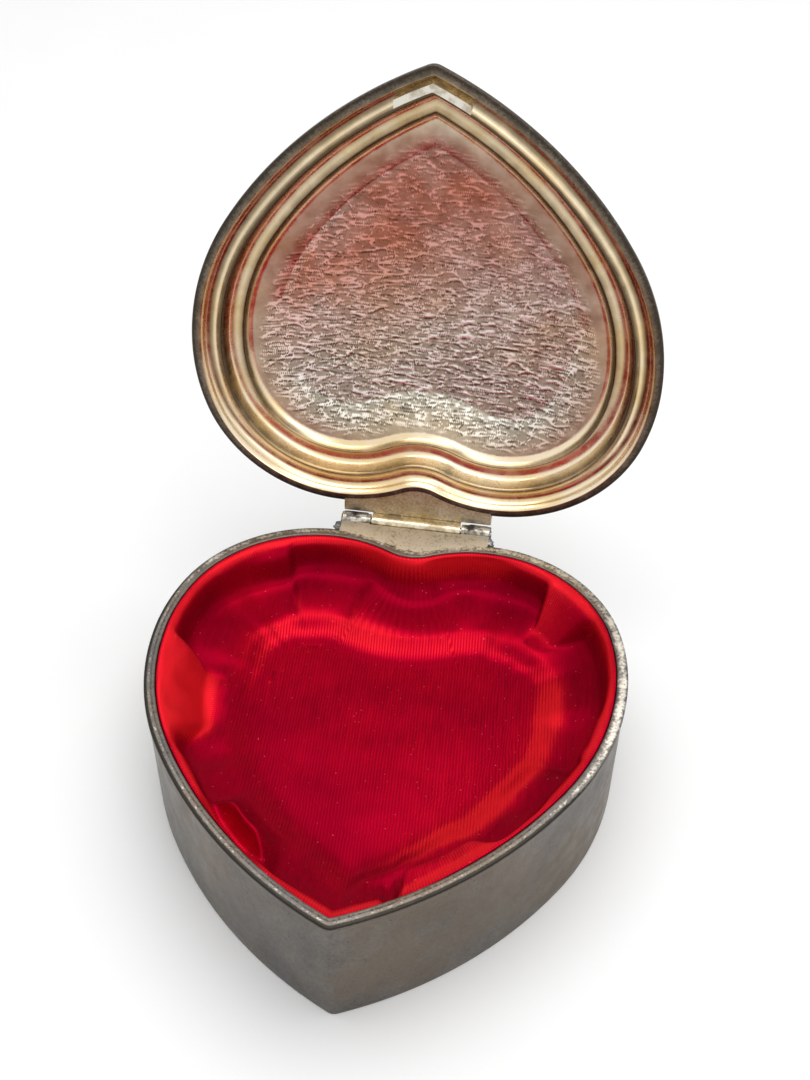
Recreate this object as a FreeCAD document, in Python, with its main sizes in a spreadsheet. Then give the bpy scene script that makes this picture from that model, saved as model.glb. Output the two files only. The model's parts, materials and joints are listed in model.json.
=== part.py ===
"""Heart-shaped wind-up music box with its lid open, in millimetres.

The origin is the middle of the base's footprint on the table, +Z is up and the hinge is at +Y.
A cast heart wall and a stepped lid turn on a rolled hinge. A padded lining lies over a false
floor, and a spring-driven comb movement lies under it, with its key in a well in the bottom.
"""
import FreeCAD, Part
import math
import os
import re
import Sketcher

Vector = FreeCAD.Vector
Rotation = FreeCAD.Rotation
Placement = FreeCAD.Placement
UP = Vector(0, 0, 1)
ACROSS = Vector(1, 0, 0)
ALONG = Vector(0, 1, 0)

# Driving dimensions: lengths in millimetres, angles in degrees, teeth and notes in counts, shares plain
SIZES = {
    # Heart outline, from the widest line up over each lobe and down each side to the tip
    "half_width": 50,
    "widest_line": 14.35,
    "shoulder_radius": 46.25,
    "shoulder_angle": 17.76,
    "lobe_radius": 31.85,
    "notch_radius": 7.85,
    "cheek_radius": 55.2,
    "cheek_angle": 32.37,
    "side_radius": 92.4,
    "tip_radius": 2.4,
    "tip_least": 0.8,
    # Base wall, its rim bead, its screw posts and the plate that closes it
    "case_height": 31.5,
    "wall_thickness": 2.1,
    "rim_bead": 0.3,
    "rim_bead_height": 1.7,
    "bottom_recess": 0.8,
    "plate_thickness": 1.2,
    "plate_gap": 0.25,
    "post_radius": 3.2,
    "post_sink": 0.9,
    "lobe_post_angle": 45,
    # Hinge: rolled leaves on the cast lugs of base and lid, and the pin
    "hinge_behind_lobes": 4.9,
    "hinge_below_rim": 0.9,
    "hinge_width": 34,
    "centre_knuckle": 20.4,
    "knuckle_radius": 1.6,
    "knuckle_gap": 0.3,
    "hinge_pin_radius": 0.8,
    "hinge_pin_gap": 0.05,
    "hinge_pin_end": 0.4,
    "leaf_thickness": 0.7,
    "leaf_length": 4.6,
    "leaf_bridge": 2.3,
    "lug_depth": 6.4,
    "lid_lug_height": 4.2,
    "open_angle": 96.3,
    # Lid: widths are measured in from its edge, depths up from its rim
    "lid_gap": 0.3,
    "lid_overhang": 0.6,
    "lip_height": 1.5,
    "lip_width": 1.9,
    "moulding_run": 0.8,
    "groove_depth": 2.5,
    "groove_end": 4.7,
    "bead_drop": 0.5,
    "bead_end": 6.2,
    "cove_depth": 5.3,
    "dish_edge": 10.2,
    "dish_margin": 15,
    "dish_depth": 7.5,
    "dome_rise": 4.4,
    "dome_run": 14,
    "lid_thickness": 1.8,
    "lid_riser": 1.2,
    "lid_step": 2.1,
    "catch_half_width": 7.4,
    "catch_width": 1.5,
    "catch_gap": 0.4,
    "catch_reach": 1,
    # Padded lining: a rolled edge under the rim, a sloping wall and a flat floor
    "lining_gap": 0.4,
    "lining_setdown": 1.5,
    "lining_edge": 1,
    "lining_roll": 2.6,
    "lining_roll_height": 3.2,
    "lining_slope": 8.6,
    "lining_slope_height": 4.6,
    "lining_foot": 15.8,
    "lining_foot_height": 1.3,
    "floor_gap": 0.5,
    "floor_pad": 1.5,
    "floor_crown": 4,
    "fold_radius": 2.8,
    "fold_tail": 0.7,
    "fold_length": 10,
    # False floor
    "board_thickness": 1,
    "board_gap": 0.5,
    "board_edge": 0.6,
    # Movement plate and its key well
    "bed_thickness": 1.4,
    "bed_margin": 1.4,
    "well_radius": 11.5,
    "well_depth": 5.6,
    "well_thickness": 0.7,
    "well_flange": 1.2,
    "ear_gap": 0.3,
    "ear_margin": 0.7,
    "well_fit": 0.2,
    # Winding arbor, key and spring
    "arbor_radius": 1.6,
    "arbor_fit": 0.05,
    "arbor_end": 0.2,
    "bush_radius": 2.8,
    "clip_radius": 3.1,
    "clip_thickness": 0.6,
    "clip_gap": 0.2,
    "key_clearance": 0.3,
    "key_hub_radius": 2.7,
    "key_thickness": 1.2,
    "key_span": 6.2,
    "key_wing_radius": 2.1,
    "key_eye_radius": 1,
    "barrel_radius": 12,
    "barrel_wall": 0.8,
    "barrel_gap": 0.4,
    "spring_thickness": 0.35,
    "spring_pitch": 1,
    "spring_core": 2.6,
    "spring_side_gap": 0.5,
    # Gear train: crown to pinion, wheel to pinion, worm wheel to worm
    "crown_module": 0.6,
    "crown_teeth": 48,
    "crown_face": 1.8,
    "crown_thickness": 0.9,
    "crown_wall_gap": 2,
    "crown_root_share": 1.25,
    "crown_tip_share": 0.7,
    "pinion_teeth": 12,
    "pinion_width": 1.4,
    "fine_module": 0.3,
    "wheel_teeth": 36,
    "wheel_width": 0.9,
    "governor_teeth": 9,
    "worm_wheel_teeth": 24,
    "worm_wheel_width": 0.8,
    "worm_radius": 1.1,
    "mesh_gap": 0.05,
    # Cylinder, its bearings and the comb
    "drum_radius": 5,
    "drum_length": 22,
    "drum_wall": 0.7,
    "drum_gap": 0.35,
    "cap_thickness": 1,
    "pin_height": 0.45,
    "pin_radius": 0.17,
    "pins_per_note": 4,
    "axle_radius": 1,
    "axle_fit": 0.04,
    "bearing_thickness": 1.2,
    "bearing_half_width": 3.8,
    "bearing_rise": 2.6,
    "foot_length": 5.6,
    "foot_thickness": 1,
    "side_play": 0.6,
    "notes": 18,
    "note_pitch": 1.15,
    "tooth_slot": 0.25,
    "tooth_length": 9,
    "treble_shortening": 2.4,
    "comb_heel": 10.5,
    "comb_thickness": 0.9,
    "comb_clearance": 0.08,
    "comb_screw_spread": 6,
    # Governor
    "governor_drop": 1.5,
    "governor_axle_radius": 0.5,
    "fan_shaft_radius": 0.4,
    "fan_radius": 3,
    "fan_height": 2,
    "fan_thickness": 0.5,
    "fan_gap": 0.5,
    "worm_half_length": 1.9,
    "frame_thickness": 1,
    # Screws
    "screw_radius": 1,
    "screw_fit": 0.03,
    "screw_head": 1.8,
    "screw_head_height": 0.9,
    "screw_slot": 0.4,
    "plate_screw_length": 7,
    "bracket_screw_length": 2.2,
    "comb_screw_length": 5,
}

# Heights and places that follow from the driving dimensions
DERIVED = {
    # Heights from the table up
    "plate_top": "bottom_recess + plate_thickness",
    "bed_top": "plate_top + bed_thickness",
    "drum_reach": "drum_radius + pin_height",
    "axle_height": "bed_top + drum_reach + drum_gap",
    "crown_pitch_height": "axle_height + pinion_pitch + mesh_gap",
    "crown_under": "crown_pitch_height + crown_root_share * crown_module",
    "crown_top": "crown_under + crown_thickness",
    "clip_under": "crown_top + clip_gap",
    "arbor_top": "clip_under + clip_thickness + arbor_end",
    "board_under": "max(arbor_top; frame_top + frame_thickness) + board_gap",
    "board_top": "board_under + board_thickness",
    "lining_top": "case_height - lining_setdown",
    "roof_under": "bottom_recess + well_depth",
    "roof_top": "roof_under + well_thickness",
    "key_axis_height": "bottom_recess + key_clearance + key_wing_radius",
    # Heart outline
    "lobe_x": "half_width - shoulder_radius + (shoulder_radius - lobe_radius) * cos(shoulder_angle)",
    "lobe_y": "widest_line + (shoulder_radius - lobe_radius) * sin(shoulder_angle)",
    "notch_centre": "lobe_y + sqrt((lobe_radius + notch_radius) ^ 2 - lobe_x ^ 2)",
    "notch_y": "notch_centre - notch_radius",
    "side_x": "half_width - cheek_radius - (side_radius - cheek_radius) * cos(cheek_angle)",
    "side_y": "widest_line + (side_radius - cheek_radius) * sin(cheek_angle)",
    "tip_y": "side_y - sqrt((side_radius - tip_radius) ^ 2 - side_x ^ 2) - tip_radius",
    # Hinge and lid
    "hinge_y": "lobe_y + lobe_radius + hinge_behind_lobes",
    "hinge_z": "case_height - hinge_below_rim",
    "lug_back": "hinge_y - knuckle_radius",
    "lid_rim": "case_height + lid_gap",
    # Gear pitch radii
    "pinion_pitch": "crown_module * pinion_teeth / 2",
    "crown_pitch": "crown_module * crown_teeth / 2",
    "crown_radius": "crown_pitch + crown_face / 2",
    "wheel_pitch": "fine_module * wheel_teeth / 2",
    "governor_pitch": "fine_module * governor_teeth / 2",
    "worm_wheel_pitch": "fine_module * worm_wheel_teeth / 2",
    # Places along the movement, from the key towards the tip
    "key_y": "notch_y - wall_thickness - crown_wall_gap - crown_radius",
    "flange_radius": "well_radius + well_thickness + well_flange",
    "flange_screw_circle": "well_radius + well_thickness + screw_head + ear_gap",
    "bed_reach": "flange_screw_circle + screw_head + ear_margin",
    "pinion_y": "key_y - crown_pitch",
    "front_post_y": "pinion_y - pinion_width / 2 - side_play - bearing_thickness",
    "drum_back": "front_post_y - side_play",
    "drum_middle": "drum_back - drum_length / 2",
    "drum_front": "drum_back - drum_length",
    "wheel_y": "drum_front - side_play - wheel_width",
    "rear_plate_y": "wheel_y - side_play - bearing_thickness",
    "worm_y": "rear_plate_y - fan_radius + fan_gap",
    "frame_y": "worm_y - fan_radius - fan_gap - frame_thickness",
    "governor_z": "axle_height - governor_drop",
    "governor_x": "-sqrt((wheel_pitch + governor_pitch + mesh_gap) ^ 2 - governor_drop ^ 2)",
    "worm_x": "governor_x - worm_wheel_pitch - worm_radius - mesh_gap",
    "fan_under": "governor_z + worm_wheel_pitch + fan_gap",
    "frame_top": "fan_under + fan_height + fan_gap",
    "comb_tip": "drum_reach + comb_clearance",
    "comb_root": "comb_tip + tooth_length",
    "comb_back": "comb_root + comb_heel",
    "comb_under": "axle_height - comb_thickness / 2",
    "comb_width": "notes * note_pitch",
    "comb_front": "drum_middle - comb_width / 2",
    "comb_screw_x": "comb_root + comb_heel / 2",
}

doc = FreeCAD.newDocument("HeartMusicBox")
sheet = doc.addObject("Spreadsheet::Sheet", "Dimensions")
for row, (alias, number) in enumerate(SIZES.items(), start=1):
    sheet.set(f"A{row}", alias)
    sheet.set(f"B{row}", str(number))
    sheet.setAlias(f"B{row}", alias)
doc.recompute()

nodes = {}


def formula(text):
    """Write a formula of size names as an expression on the sheet's cells."""

    def cell(match):
        name = match.group(0)
        if name in DERIVED:
            return f"({formula(DERIVED[name])})"
        if name in SIZES:
            return f"Dimensions.{name}"
        return name

    return re.sub(r"[a-z_]+", cell, str(text))


def size(text):
    """The present value of a formula of size names."""
    return float(sheet.evalExpression(formula(text)))


def count(name):
    """A number of teeth, notes or pins."""
    return int(round(size(name)))


def bind(thing, **formulas):
    """Tie properties of an object to the sheet."""
    for name, text in formulas.items():
        thing.setExpression(name, formula(text))


def put(thing, place, direction=UP):
    """Stand an object's own Z axis along a direction, at a place given by three formulas."""
    thing.Placement = Placement(Vector(), Rotation(UP, direction))
    for letter, text in zip("xyz", place):
        thing.setExpression(f".Placement.Base.{letter}", formula(text))
    return thing


def box(length, width, height, place):
    """A block with its lowest corner at a place."""
    block = doc.addObject("Part::Box", "Block")
    bind(block, Length=length, Width=width, Height=height)
    return put(block, place)


def rod(radius, height, place, direction=UP):
    """A round bar that starts at a place."""
    bar = doc.addObject("Part::Cylinder", "Rod")
    bind(bar, Radius=radius, Height=height)
    return put(bar, place, direction)


def cone(start_radius, end_radius, height, place, direction=UP):
    """A tapered round bar that starts at a place."""
    bar = doc.addObject("Part::Cone", "Taper")
    bind(bar, Radius1=start_radius, Radius2=end_radius, Height=height)
    return put(bar, place, direction)


def join(shapes):
    """One solid from several that overlap."""
    joined = doc.addObject("Part::MultiFuse", "Joined")
    joined.Shapes = list(shapes)
    joined.Refine = True
    return joined


def cut(base, tools):
    """A solid with several others taken out of it."""
    tools = list(tools)
    result = doc.addObject("Part::Cut", "Drilled")
    result.Base = base
    result.Tool = tools[0] if len(tools) == 1 else join(tools)
    return result


def keep(label, thing):
    """Name a finished piece."""
    thing.Label = label
    nodes[label] = thing
    return thing


def solid(label, shape):
    """A finished piece whose shape comes from a formula."""
    feature = doc.addObject("Part::Feature", "Formed")
    feature.Shape = shape
    return keep(label, feature)


def heart_arcs(inset, tip):
    """Arcs of the heart outline, drawn in by an inset, as (centre, radius, start, end) in order."""
    lobe = Vector(size("lobe_x"), size("lobe_y"))
    shoulder = Vector(size("half_width - shoulder_radius"), size("widest_line"))
    cheek = Vector(size("half_width - cheek_radius"), size("widest_line"))
    side = Vector(size("side_x"), size("side_y"))
    notch = Vector(0, size("notch_centre"))
    shoulder_turn = math.radians(size("shoulder_angle"))
    cheek_turn = math.radians(size("cheek_angle"))
    side_radius = size("side_radius") - inset
    tip_centre = Vector(0, side.y - math.sqrt((side_radius - tip) ** 2 - side.x ** 2))
    tip_turn = math.atan2(tip_centre.y - side.y, -side.x)
    notch_turn = math.atan2(notch.y - lobe.y, -lobe.x)
    right = [
        (side, side_radius, tip_turn, -cheek_turn),
        (cheek, size("cheek_radius") - inset, -cheek_turn, 0),
        (shoulder, size("shoulder_radius") - inset, 0, shoulder_turn),
        (lobe, size("lobe_radius") - inset, shoulder_turn, notch_turn),
    ]
    left = [
        (Vector(-centre.x, centre.y), radius, math.pi - end, math.pi - start)
        for centre, radius, start, end in reversed(right)
    ]
    tip_arc = (tip_centre, tip, -math.pi - tip_turn, tip_turn)
    notch_arc = (notch, size("notch_radius") + inset, -notch_turn, notch_turn - math.pi)
    return [tip_arc] + right + [notch_arc] + left


HEART_RADII = ("tip", "side", "cheek", "shoulder", "lobe", "notch", "lobe", "shoulder", "cheek", "side")
HEART_PLACES = (
    "tip", "right_side", "right_cheek", "right_shoulder", "right_lobe",
    "notch", "left_lobe", "left_shoulder", "left_cheek", "left_side",
)


def heart_sketch(body, name, inset, height):
    """A sketch of the heart outline, drawn in by an inset, at a height."""
    tip = f"max(tip_radius - ({inset}); tip_least)"
    sketch = body.newObject("Sketcher::SketchObject", name)
    plane = next(part for part in body.Origin.OriginFeatures if part.Role == "XY_Plane")
    sketch.AttachmentSupport = [(plane, "")]
    sketch.MapMode = "FlatFace"
    sketch.setExpression(".AttachmentOffset.Base.z", formula(height))
    arcs = heart_arcs(size(inset), size(tip))
    for centre, radius, start, end in arcs:
        sketch.addGeometry(Part.ArcOfCircle(Part.Circle(centre, UP, radius), start, end), False)
    notch_at = HEART_RADII.index("notch")
    for first in range(len(arcs)):
        second = (first + 1) % len(arcs)
        first_end = 1 if first == notch_at else 2
        second_start = 2 if second == notch_at else 1
        sketch.addConstraint(Sketcher.Constraint("Coincident", first, first_end, second, second_start))
    for index, kind in enumerate(HEART_RADII):
        number = sketch.addConstraint(Sketcher.Constraint("Radius", index, arcs[index][1]))
        sketch.renameConstraint(number, f"{kind}_{index}")
        sign = "+" if kind == "notch" else "-"
        radius = tip if kind == "tip" else f"{kind}_radius {sign} ({inset})"
        sketch.setExpression(f"Constraints.{kind}_{index}", formula(radius))
    return sketch


def heart_pad(body, inset, low, height):
    """Add a heart-shaped slab to a body."""
    pad = body.newObject("PartDesign::Pad", "Slab")
    pad.Profile = heart_sketch(body, "SlabOutline", inset, low)
    bind(pad, Length=height)
    return pad


def heart_pocket(body, inset, top):
    """Cut a heart-shaped hole down through a body from a height."""
    pocket = body.newObject("PartDesign::Pocket", "Hollow")
    pocket.Profile = heart_sketch(body, "HollowOutline", inset, top)
    pocket.Type = "ThroughAll"
    return pocket


def heart_loft(body, kind, sections):
    """Add or take away a solid drawn through heart outlines, given as (inset, height) formulas."""
    sketches = [heart_sketch(body, "LoftOutline", inset, height) for inset, height in sections]
    loft = body.newObject(f"PartDesign::{kind}", "Moulding")
    loft.Profile = sketches[0]
    loft.Sections = sketches[1:]
    loft.Ruled = True
    return loft


def rectangle_pad(body, corner, width, depth, low, height):
    """Add a block to a body, from a plan corner and sizes given as formulas."""
    sketch = body.newObject("Sketcher::SketchObject", "BlockOutline")
    plane = next(part for part in body.Origin.OriginFeatures if part.Role == "XY_Plane")
    sketch.AttachmentSupport = [(plane, "")]
    sketch.MapMode = "FlatFace"
    sketch.setExpression(".AttachmentOffset.Base.z", formula(low))
    x, y = (size(text) for text in corner)
    wide, deep = size(width), size(depth)
    points = [Vector(x, y), Vector(x + wide, y), Vector(x + wide, y + deep), Vector(x, y + deep)]
    for index, point in enumerate(points):
        sketch.addGeometry(Part.LineSegment(point, points[(index + 1) % 4]), False)
    for index in range(4):
        sketch.addConstraint(Sketcher.Constraint("Coincident", index, 2, (index + 1) % 4, 1))
    for index, kind in enumerate(("Horizontal", "Vertical", "Horizontal", "Vertical")):
        sketch.addConstraint(Sketcher.Constraint(kind, index))
    for index, kind, text in ((0, "DistanceX", width), (1, "DistanceY", depth)):
        number = sketch.addConstraint(Sketcher.Constraint(kind, index, 1, index, 2, size(text)))
        sketch.renameConstraint(number, f"{kind}_{index}")
        sketch.setExpression(f"Constraints.{kind}_{index}", formula(text))
    pad = body.newObject("PartDesign::Pad", "Block")
    pad.Profile = sketch
    bind(pad, Length=height)
    return pad


def new_body():
    """An empty body for a piece built up from sketches."""
    return doc.addObject("PartDesign::Body", "Body")


# Gear tooth form in modules above and below the pitch line, and half thicknesses as shares of a pitch
TOOTH_ABOVE = 0.8
TOOTH_BELOW = 1.2
TOOTH_HALF = 0.21
PRESSURE_ANGLE = 20
CROWN_TOOTH = (0.16, 0.34)
WORM_THREAD = (0.1, 0.28)


def gear_face(teeth, module, bore, turn):
    """A spur gear's face with involute flanks, room at the tips and one tooth pointing along a turn."""
    pitch = module * teeth / 2
    base = pitch * math.cos(math.radians(PRESSURE_ANGLE))
    tip = pitch + TOOTH_ABOVE * module
    root = pitch - TOOTH_BELOW * module
    half_tooth = TOOTH_HALF * 2 * math.pi / teeth

    def involute(radius):
        slope = math.acos(min(1, base / radius))
        return math.tan(slope) - slope

    flank = [max(base, root) + (tip - max(base, root)) * step / 4 for step in range(5)]
    side = [(radius, half_tooth + involute(pitch) - involute(radius)) for radius in flank]
    side = [(root, side[0][1])] + side
    points = []
    for tooth in range(teeth):
        middle = turn + 2 * math.pi * tooth / teeth
        for radius, angle in side:
            points.append(Vector(radius * math.cos(middle - angle), radius * math.sin(middle - angle)))
        for radius, angle in reversed(side):
            points.append(Vector(radius * math.cos(middle + angle), radius * math.sin(middle + angle)))
    outline = Part.makePolygon(points + points[:1])
    hole = Part.Wire(Part.Circle(Vector(), UP, bore).toShape())
    return Part.makeFace([outline, hole], "Part::FaceMakerBullseye")


def lengthwise_gear(label, teeth, module, bore, width, place, turn=0.0):
    """A gear on an axle along Y. The turn is measured from +X towards +Z, and the width runs to +Y."""
    wheel = gear_face(count(teeth), size(module), size(bore), -turn).extrude(UP * size(width))
    gear = solid(label, wheel)
    gear.Placement = Placement(Vector(*(size(text) for text in place)), Rotation(ACROSS, -90))
    return gear


def screw_group(label, places, length, direction=-1, countersunk=False):
    """Slotted screws at places under their heads' tops, driven down, or up with a direction of 1."""
    shank, head = size("screw_radius"), size("screw_head")
    head_height, slot = size("screw_head_height"), size("screw_slot")
    rim = shank if countersunk else head
    long = size(length)
    profile = [(0, 0), (head, 0), (rim, -head_height), (shank, -head_height), (shank, -long), (0, -long)]
    points = [Vector(radius, 0, height) for radius, height in profile]
    points = [point for index, point in enumerate(points) if index == 0 or point != points[index - 1]]
    blank = Part.Face(Part.makePolygon(points + points[:1])).revolve(Vector(), UP, 360)
    driver = Part.makeBox(2 * head, slot, slot, Vector(-head, -slot / 2, -slot))
    screw = blank.cut(driver)
    if direction > 0:
        screw.rotate(Vector(), ACROSS, 180)
    copies = []
    for place in places:
        copy = screw.copy()
        copy.translate(Vector(*(size(text) for text in place)))
        copies.append(copy)
    return solid(label, Part.makeCompound(copies))


# Base: outer heart, rim bead and hinge lug, hollowed in one, then the posts that carry plate and floor
base_blank = new_body()
heart_pad(base_blank, "0", "0", "case_height")
heart_pad(base_blank, "-rim_bead", "case_height - rim_bead_height", "rim_bead_height")
rectangle_pad(
    base_blank, ("-hinge_width / 2", "notch_y - notch_radius"), "hinge_width",
    "lug_back - notch_y + notch_radius", "case_height - lug_depth", "lug_depth",
)
heart_pocket(base_blank, "wall_thickness", "case_height")
post_reach = "(lobe_radius - wall_thickness - post_radius + post_sink)"
POSTS = [
    ("0", "tip_y + wall_thickness + post_radius - post_sink"),
    (f"lobe_x + {post_reach} * cos(lobe_post_angle)", f"lobe_y + {post_reach} * sin(lobe_post_angle)"),
    (f"-lobe_x - {post_reach} * cos(lobe_post_angle)", f"lobe_y + {post_reach} * sin(lobe_post_angle)"),
]
posts = [rod("post_radius", "board_under - plate_top", (x, y, "plate_top")) for x, y in POSTS]
post_holes = [
    rod("screw_radius + screw_fit", "plate_screw_length", (x, y, "plate_top")) for x, y in POSTS
]
knuckle_recess = box(
    "centre_knuckle + 2 * knuckle_gap", "knuckle_gap", "hinge_below_rim + knuckle_radius + knuckle_gap",
    ("-centre_knuckle / 2 - knuckle_gap", "lug_back - knuckle_gap",
     "hinge_z - knuckle_radius - knuckle_gap"),
)
keep("base_shell", cut(join([base_blank] + posts), post_holes + [knuckle_recess]))

# Bottom plate, up against the posts, with the well's mouth and countersunk holes
BED_SCREWS = [
    ("-bearing_half_width", "frame_y - foot_length / 2"),
    ("comb_root", "comb_front - bed_margin / 2"),
    ("flange_radius - bed_margin", "key_y - flange_radius + bed_margin"),
]
plate_blank = new_body()
heart_pad(plate_blank, "wall_thickness + plate_gap", "bottom_recess", "plate_thickness")
plate_tools = [rod("well_radius", "plate_thickness", ("0", "key_y", "bottom_recess"))]
for x, y in POSTS + BED_SCREWS:
    plate_tools.append(rod("screw_radius + screw_fit", "plate_thickness", (x, y, "bottom_recess")))
    plate_tools.append(
        cone("screw_head + screw_fit", "screw_radius + screw_fit", "screw_head_height",
             (x, y, "bottom_recess"))
    )
keep("bottom_plate", cut(plate_blank, plate_tools))
screw_group(
    "bottom_plate_screws", [(x, y, "bottom_recess") for x, y in POSTS], "plate_screw_length", 1, True
)
screw_group(
    "bed_screws", [(x, y, "bottom_recess") for x, y in BED_SCREWS],
    "plate_thickness + bed_thickness", 1, True,
)


def hinge_leaf(label, knuckles, bore, rise):
    """A rolled leaf: a flat strip up (rise 1) or down (rise -1) from the knuckles around the pin."""
    front = "hinge_y - knuckle_radius"
    shapes = []
    for start, width in knuckles:
        shapes.append(rod("knuckle_radius", width, (start, "hinge_y", "hinge_z"), ACROSS))
        foot = "hinge_z" if rise > 0 else "hinge_z - leaf_length"
        shapes.append(box(width, "leaf_thickness", "leaf_length", (start, front, foot)))
    low = "hinge_z + leaf_bridge" if rise > 0 else "hinge_z - leaf_length"
    shapes.append(
        box("hinge_width", "leaf_thickness", "leaf_length - leaf_bridge", ("-hinge_width / 2", front, low))
    )
    hole = rod(bore, "hinge_width", ("-hinge_width / 2", "hinge_y", "hinge_z"), ACROSS)
    return keep(label, cut(join(shapes), [hole]))


end_knuckle = "(hinge_width - centre_knuckle) / 2 - knuckle_gap"
hinge_leaf(
    "base_hinge_leaf",
    [("-hinge_width / 2", end_knuckle), ("centre_knuckle / 2 + knuckle_gap", end_knuckle)],
    "hinge_pin_radius", -1,
)
hinge_leaf(
    "lid_hinge_leaf", [("-centre_knuckle / 2", "centre_knuckle")], "hinge_pin_radius + hinge_pin_gap", 1
)
keep("hinge_pin", rod(
    "hinge_pin_radius", "hinge_width + 2 * hinge_pin_end",
    ("-hinge_width / 2 - hinge_pin_end", "hinge_y", "hinge_z"), ACROSS,
))

# Lid, drawn shut: widths in from its edge and depths up from its rim, outside and inside
DOME_STEPS = 4
DOME = [
    (f"dish_margin + dome_run * {step} / {DOME_STEPS}",
     f"dish_depth + dome_rise * sin(90 * {step} / {DOME_STEPS})")
    for step in range(1, DOME_STEPS + 1)
]
LID_OUTSIDE = [
    ("0", "0"),
    ("0", "lip_height"),
    ("lip_width", "groove_depth + lid_riser"),
    ("groove_end", "groove_depth + lid_thickness"),
    ("bead_end", "groove_depth + lid_step"),
    ("bead_end + moulding_run", "cove_depth + lid_riser"),
    ("dish_edge", "cove_depth + lid_step"),
    ("dish_edge + 2 * moulding_run", "dish_depth + lid_riser"),
    ("dish_margin", "dish_depth + lid_thickness"),
] + [(edge, f"{depth} + lid_thickness") for edge, depth in DOME]
LID_INSIDE = [
    ("lip_width", "-lid_gap"),
    ("lip_width", "0"),
    ("lip_width + moulding_run", "groove_depth"),
    ("groove_end", "groove_depth"),
    ("groove_end + moulding_run", "groove_depth - bead_drop"),
    ("bead_end", "groove_depth - bead_drop"),
    ("bead_end + moulding_run", "cove_depth - bead_drop"),
    ("bead_end + 2 * moulding_run", "cove_depth"),
    ("dish_edge - moulding_run", "cove_depth"),
    ("dish_edge", "cove_depth - bead_drop / 2"),
    ("dish_edge + moulding_run", "(cove_depth + dish_depth) / 2"),
    ("dish_edge + 3 * moulding_run", "dish_depth - bead_drop"),
    ("dish_margin", "dish_depth"),
] + DOME


def lid_sections(profile):
    """Insets from the case outline and heights above the table for a lid profile."""
    return [(f"{edge} - lid_overhang", f"lid_rim + {depth}") for edge, depth in profile]


lid_blank = new_body()
heart_loft(lid_blank, "AdditiveLoft", lid_sections(LID_OUTSIDE))
rectangle_pad(
    lid_blank, ("-hinge_width / 2", "notch_y - notch_radius"), "hinge_width",
    "lug_back - notch_y + notch_radius", "lid_rim", "lid_lug_height",
)
heart_loft(lid_blank, "SubtractiveLoft", lid_sections(LID_INSIDE))
keep("lid_shell", lid_blank)

# Locating lug inside the lid's tip: a short piece of a ring that follows the outline
catch_ring = new_body()
heart_pad(catch_ring, "wall_thickness + catch_gap", "lid_rim - catch_reach", "groove_depth + catch_reach")
heart_pocket(catch_ring, "wall_thickness + catch_gap + catch_width", "lid_rim + groove_depth")
catch_window = box(
    "2 * catch_half_width", "half_width", "2 * (groove_depth + catch_reach)",
    ("-catch_half_width", "tip_y", "lid_rim - catch_reach"),
)
catch = doc.addObject("Part::Common", "Catch")
catch.Base = catch_ring
catch.Tool = catch_window
keep("lid_catch", catch)

# False floor on the posts
board_blank = new_body()
heart_pad(board_blank, "wall_thickness + board_edge", "board_under", "board_thickness")
keep("floor_board", board_blank)

# Padded satin wall: a ring hollowed to a soft bowl, with the main folds of the cloth laid on it
BOWL = [
    ("lining_edge", "lining_top + lining_gap"),
    ("lining_edge", "lining_top"),
    ("lining_roll", "lining_top - lining_edge"),
    ("lining_roll", "lining_top - lining_roll_height"),
    ("lining_slope", "board_top + lining_slope_height"),
    ("lining_foot", "board_top + lining_foot_height"),
    ("lining_foot", "board_top - lining_gap"),
]
wall_blank = new_body()
heart_pad(wall_blank, "wall_thickness + lining_gap", "board_top", "lining_top - board_top")
heart_loft(
    wall_blank, "SubtractiveLoft",
    [(f"wall_thickness + lining_gap + {inset}", height) for inset, height in BOWL],
)
# Each fold is a place along the outline: the arc it is on, and how far along that arc from 0 to 1
FOLDS = [
    ("right_lobe", 0.26), ("left_lobe", 0.36), ("left_cheek", 0.21), ("left_side", 0.24),
    ("right_side", 0.27),
]
FOLD_SIDES = 8


def cloth_folds(room):
    """The cloth's folds: tapered ridges that lean in from the rolled edge, grown by some room all round."""
    inset = size("wall_thickness + lining_gap + fold_radius + lining_edge / 2")
    drop = size("lining_top - fold_radius - board_top - floor_pad - fold_tail")
    arcs = dict(zip(HEART_PLACES, heart_arcs(inset, size("tip_least"))))
    folds = []
    for place, share in FOLDS:
        centre, radius, start, end = arcs[place]
        turn = start + share * (end - start)
        outward = Vector(math.cos(turn), math.sin(turn))
        head = centre + outward * radius + UP * size("lining_top - fold_radius")
        lean = outward * -size("fold_length") - UP * drop
        ends = []
        for point, reach in ((head, "fold_radius"), (head + lean, "fold_tail")):
            section = doc.addObject("Part::RegularPolygon", "FoldEnd")
            section.Polygon = FOLD_SIDES
            bind(section, Circumradius=f"{reach} + {room}")
            section.Placement = Placement(point, Rotation(UP, lean))
            ends.append(section)
        fold = doc.addObject("Part::Loft", "Fold")
        fold.Sections = ends
        fold.Solid = True
        fold.Ruled = True
        folds.append(fold)
    return folds


keep("lining_wall", join([wall_blank] + cloth_folds("0")))

# Padded satin floor with a soft crown
floor_inset = "wall_thickness + lining_gap + lining_foot + floor_gap"
floor_blank = new_body()
heart_loft(floor_blank, "AdditiveLoft", [
    (floor_inset, "board_top"),
    (floor_inset, "board_top + floor_pad / 2"),
    (f"{floor_inset} + floor_crown / 4", "board_top + 5 * floor_pad / 6"),
    (f"{floor_inset} + floor_crown", "board_top + floor_pad"),
])
keep("lining_floor", cut(floor_blank, cloth_folds("floor_gap")))

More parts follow.
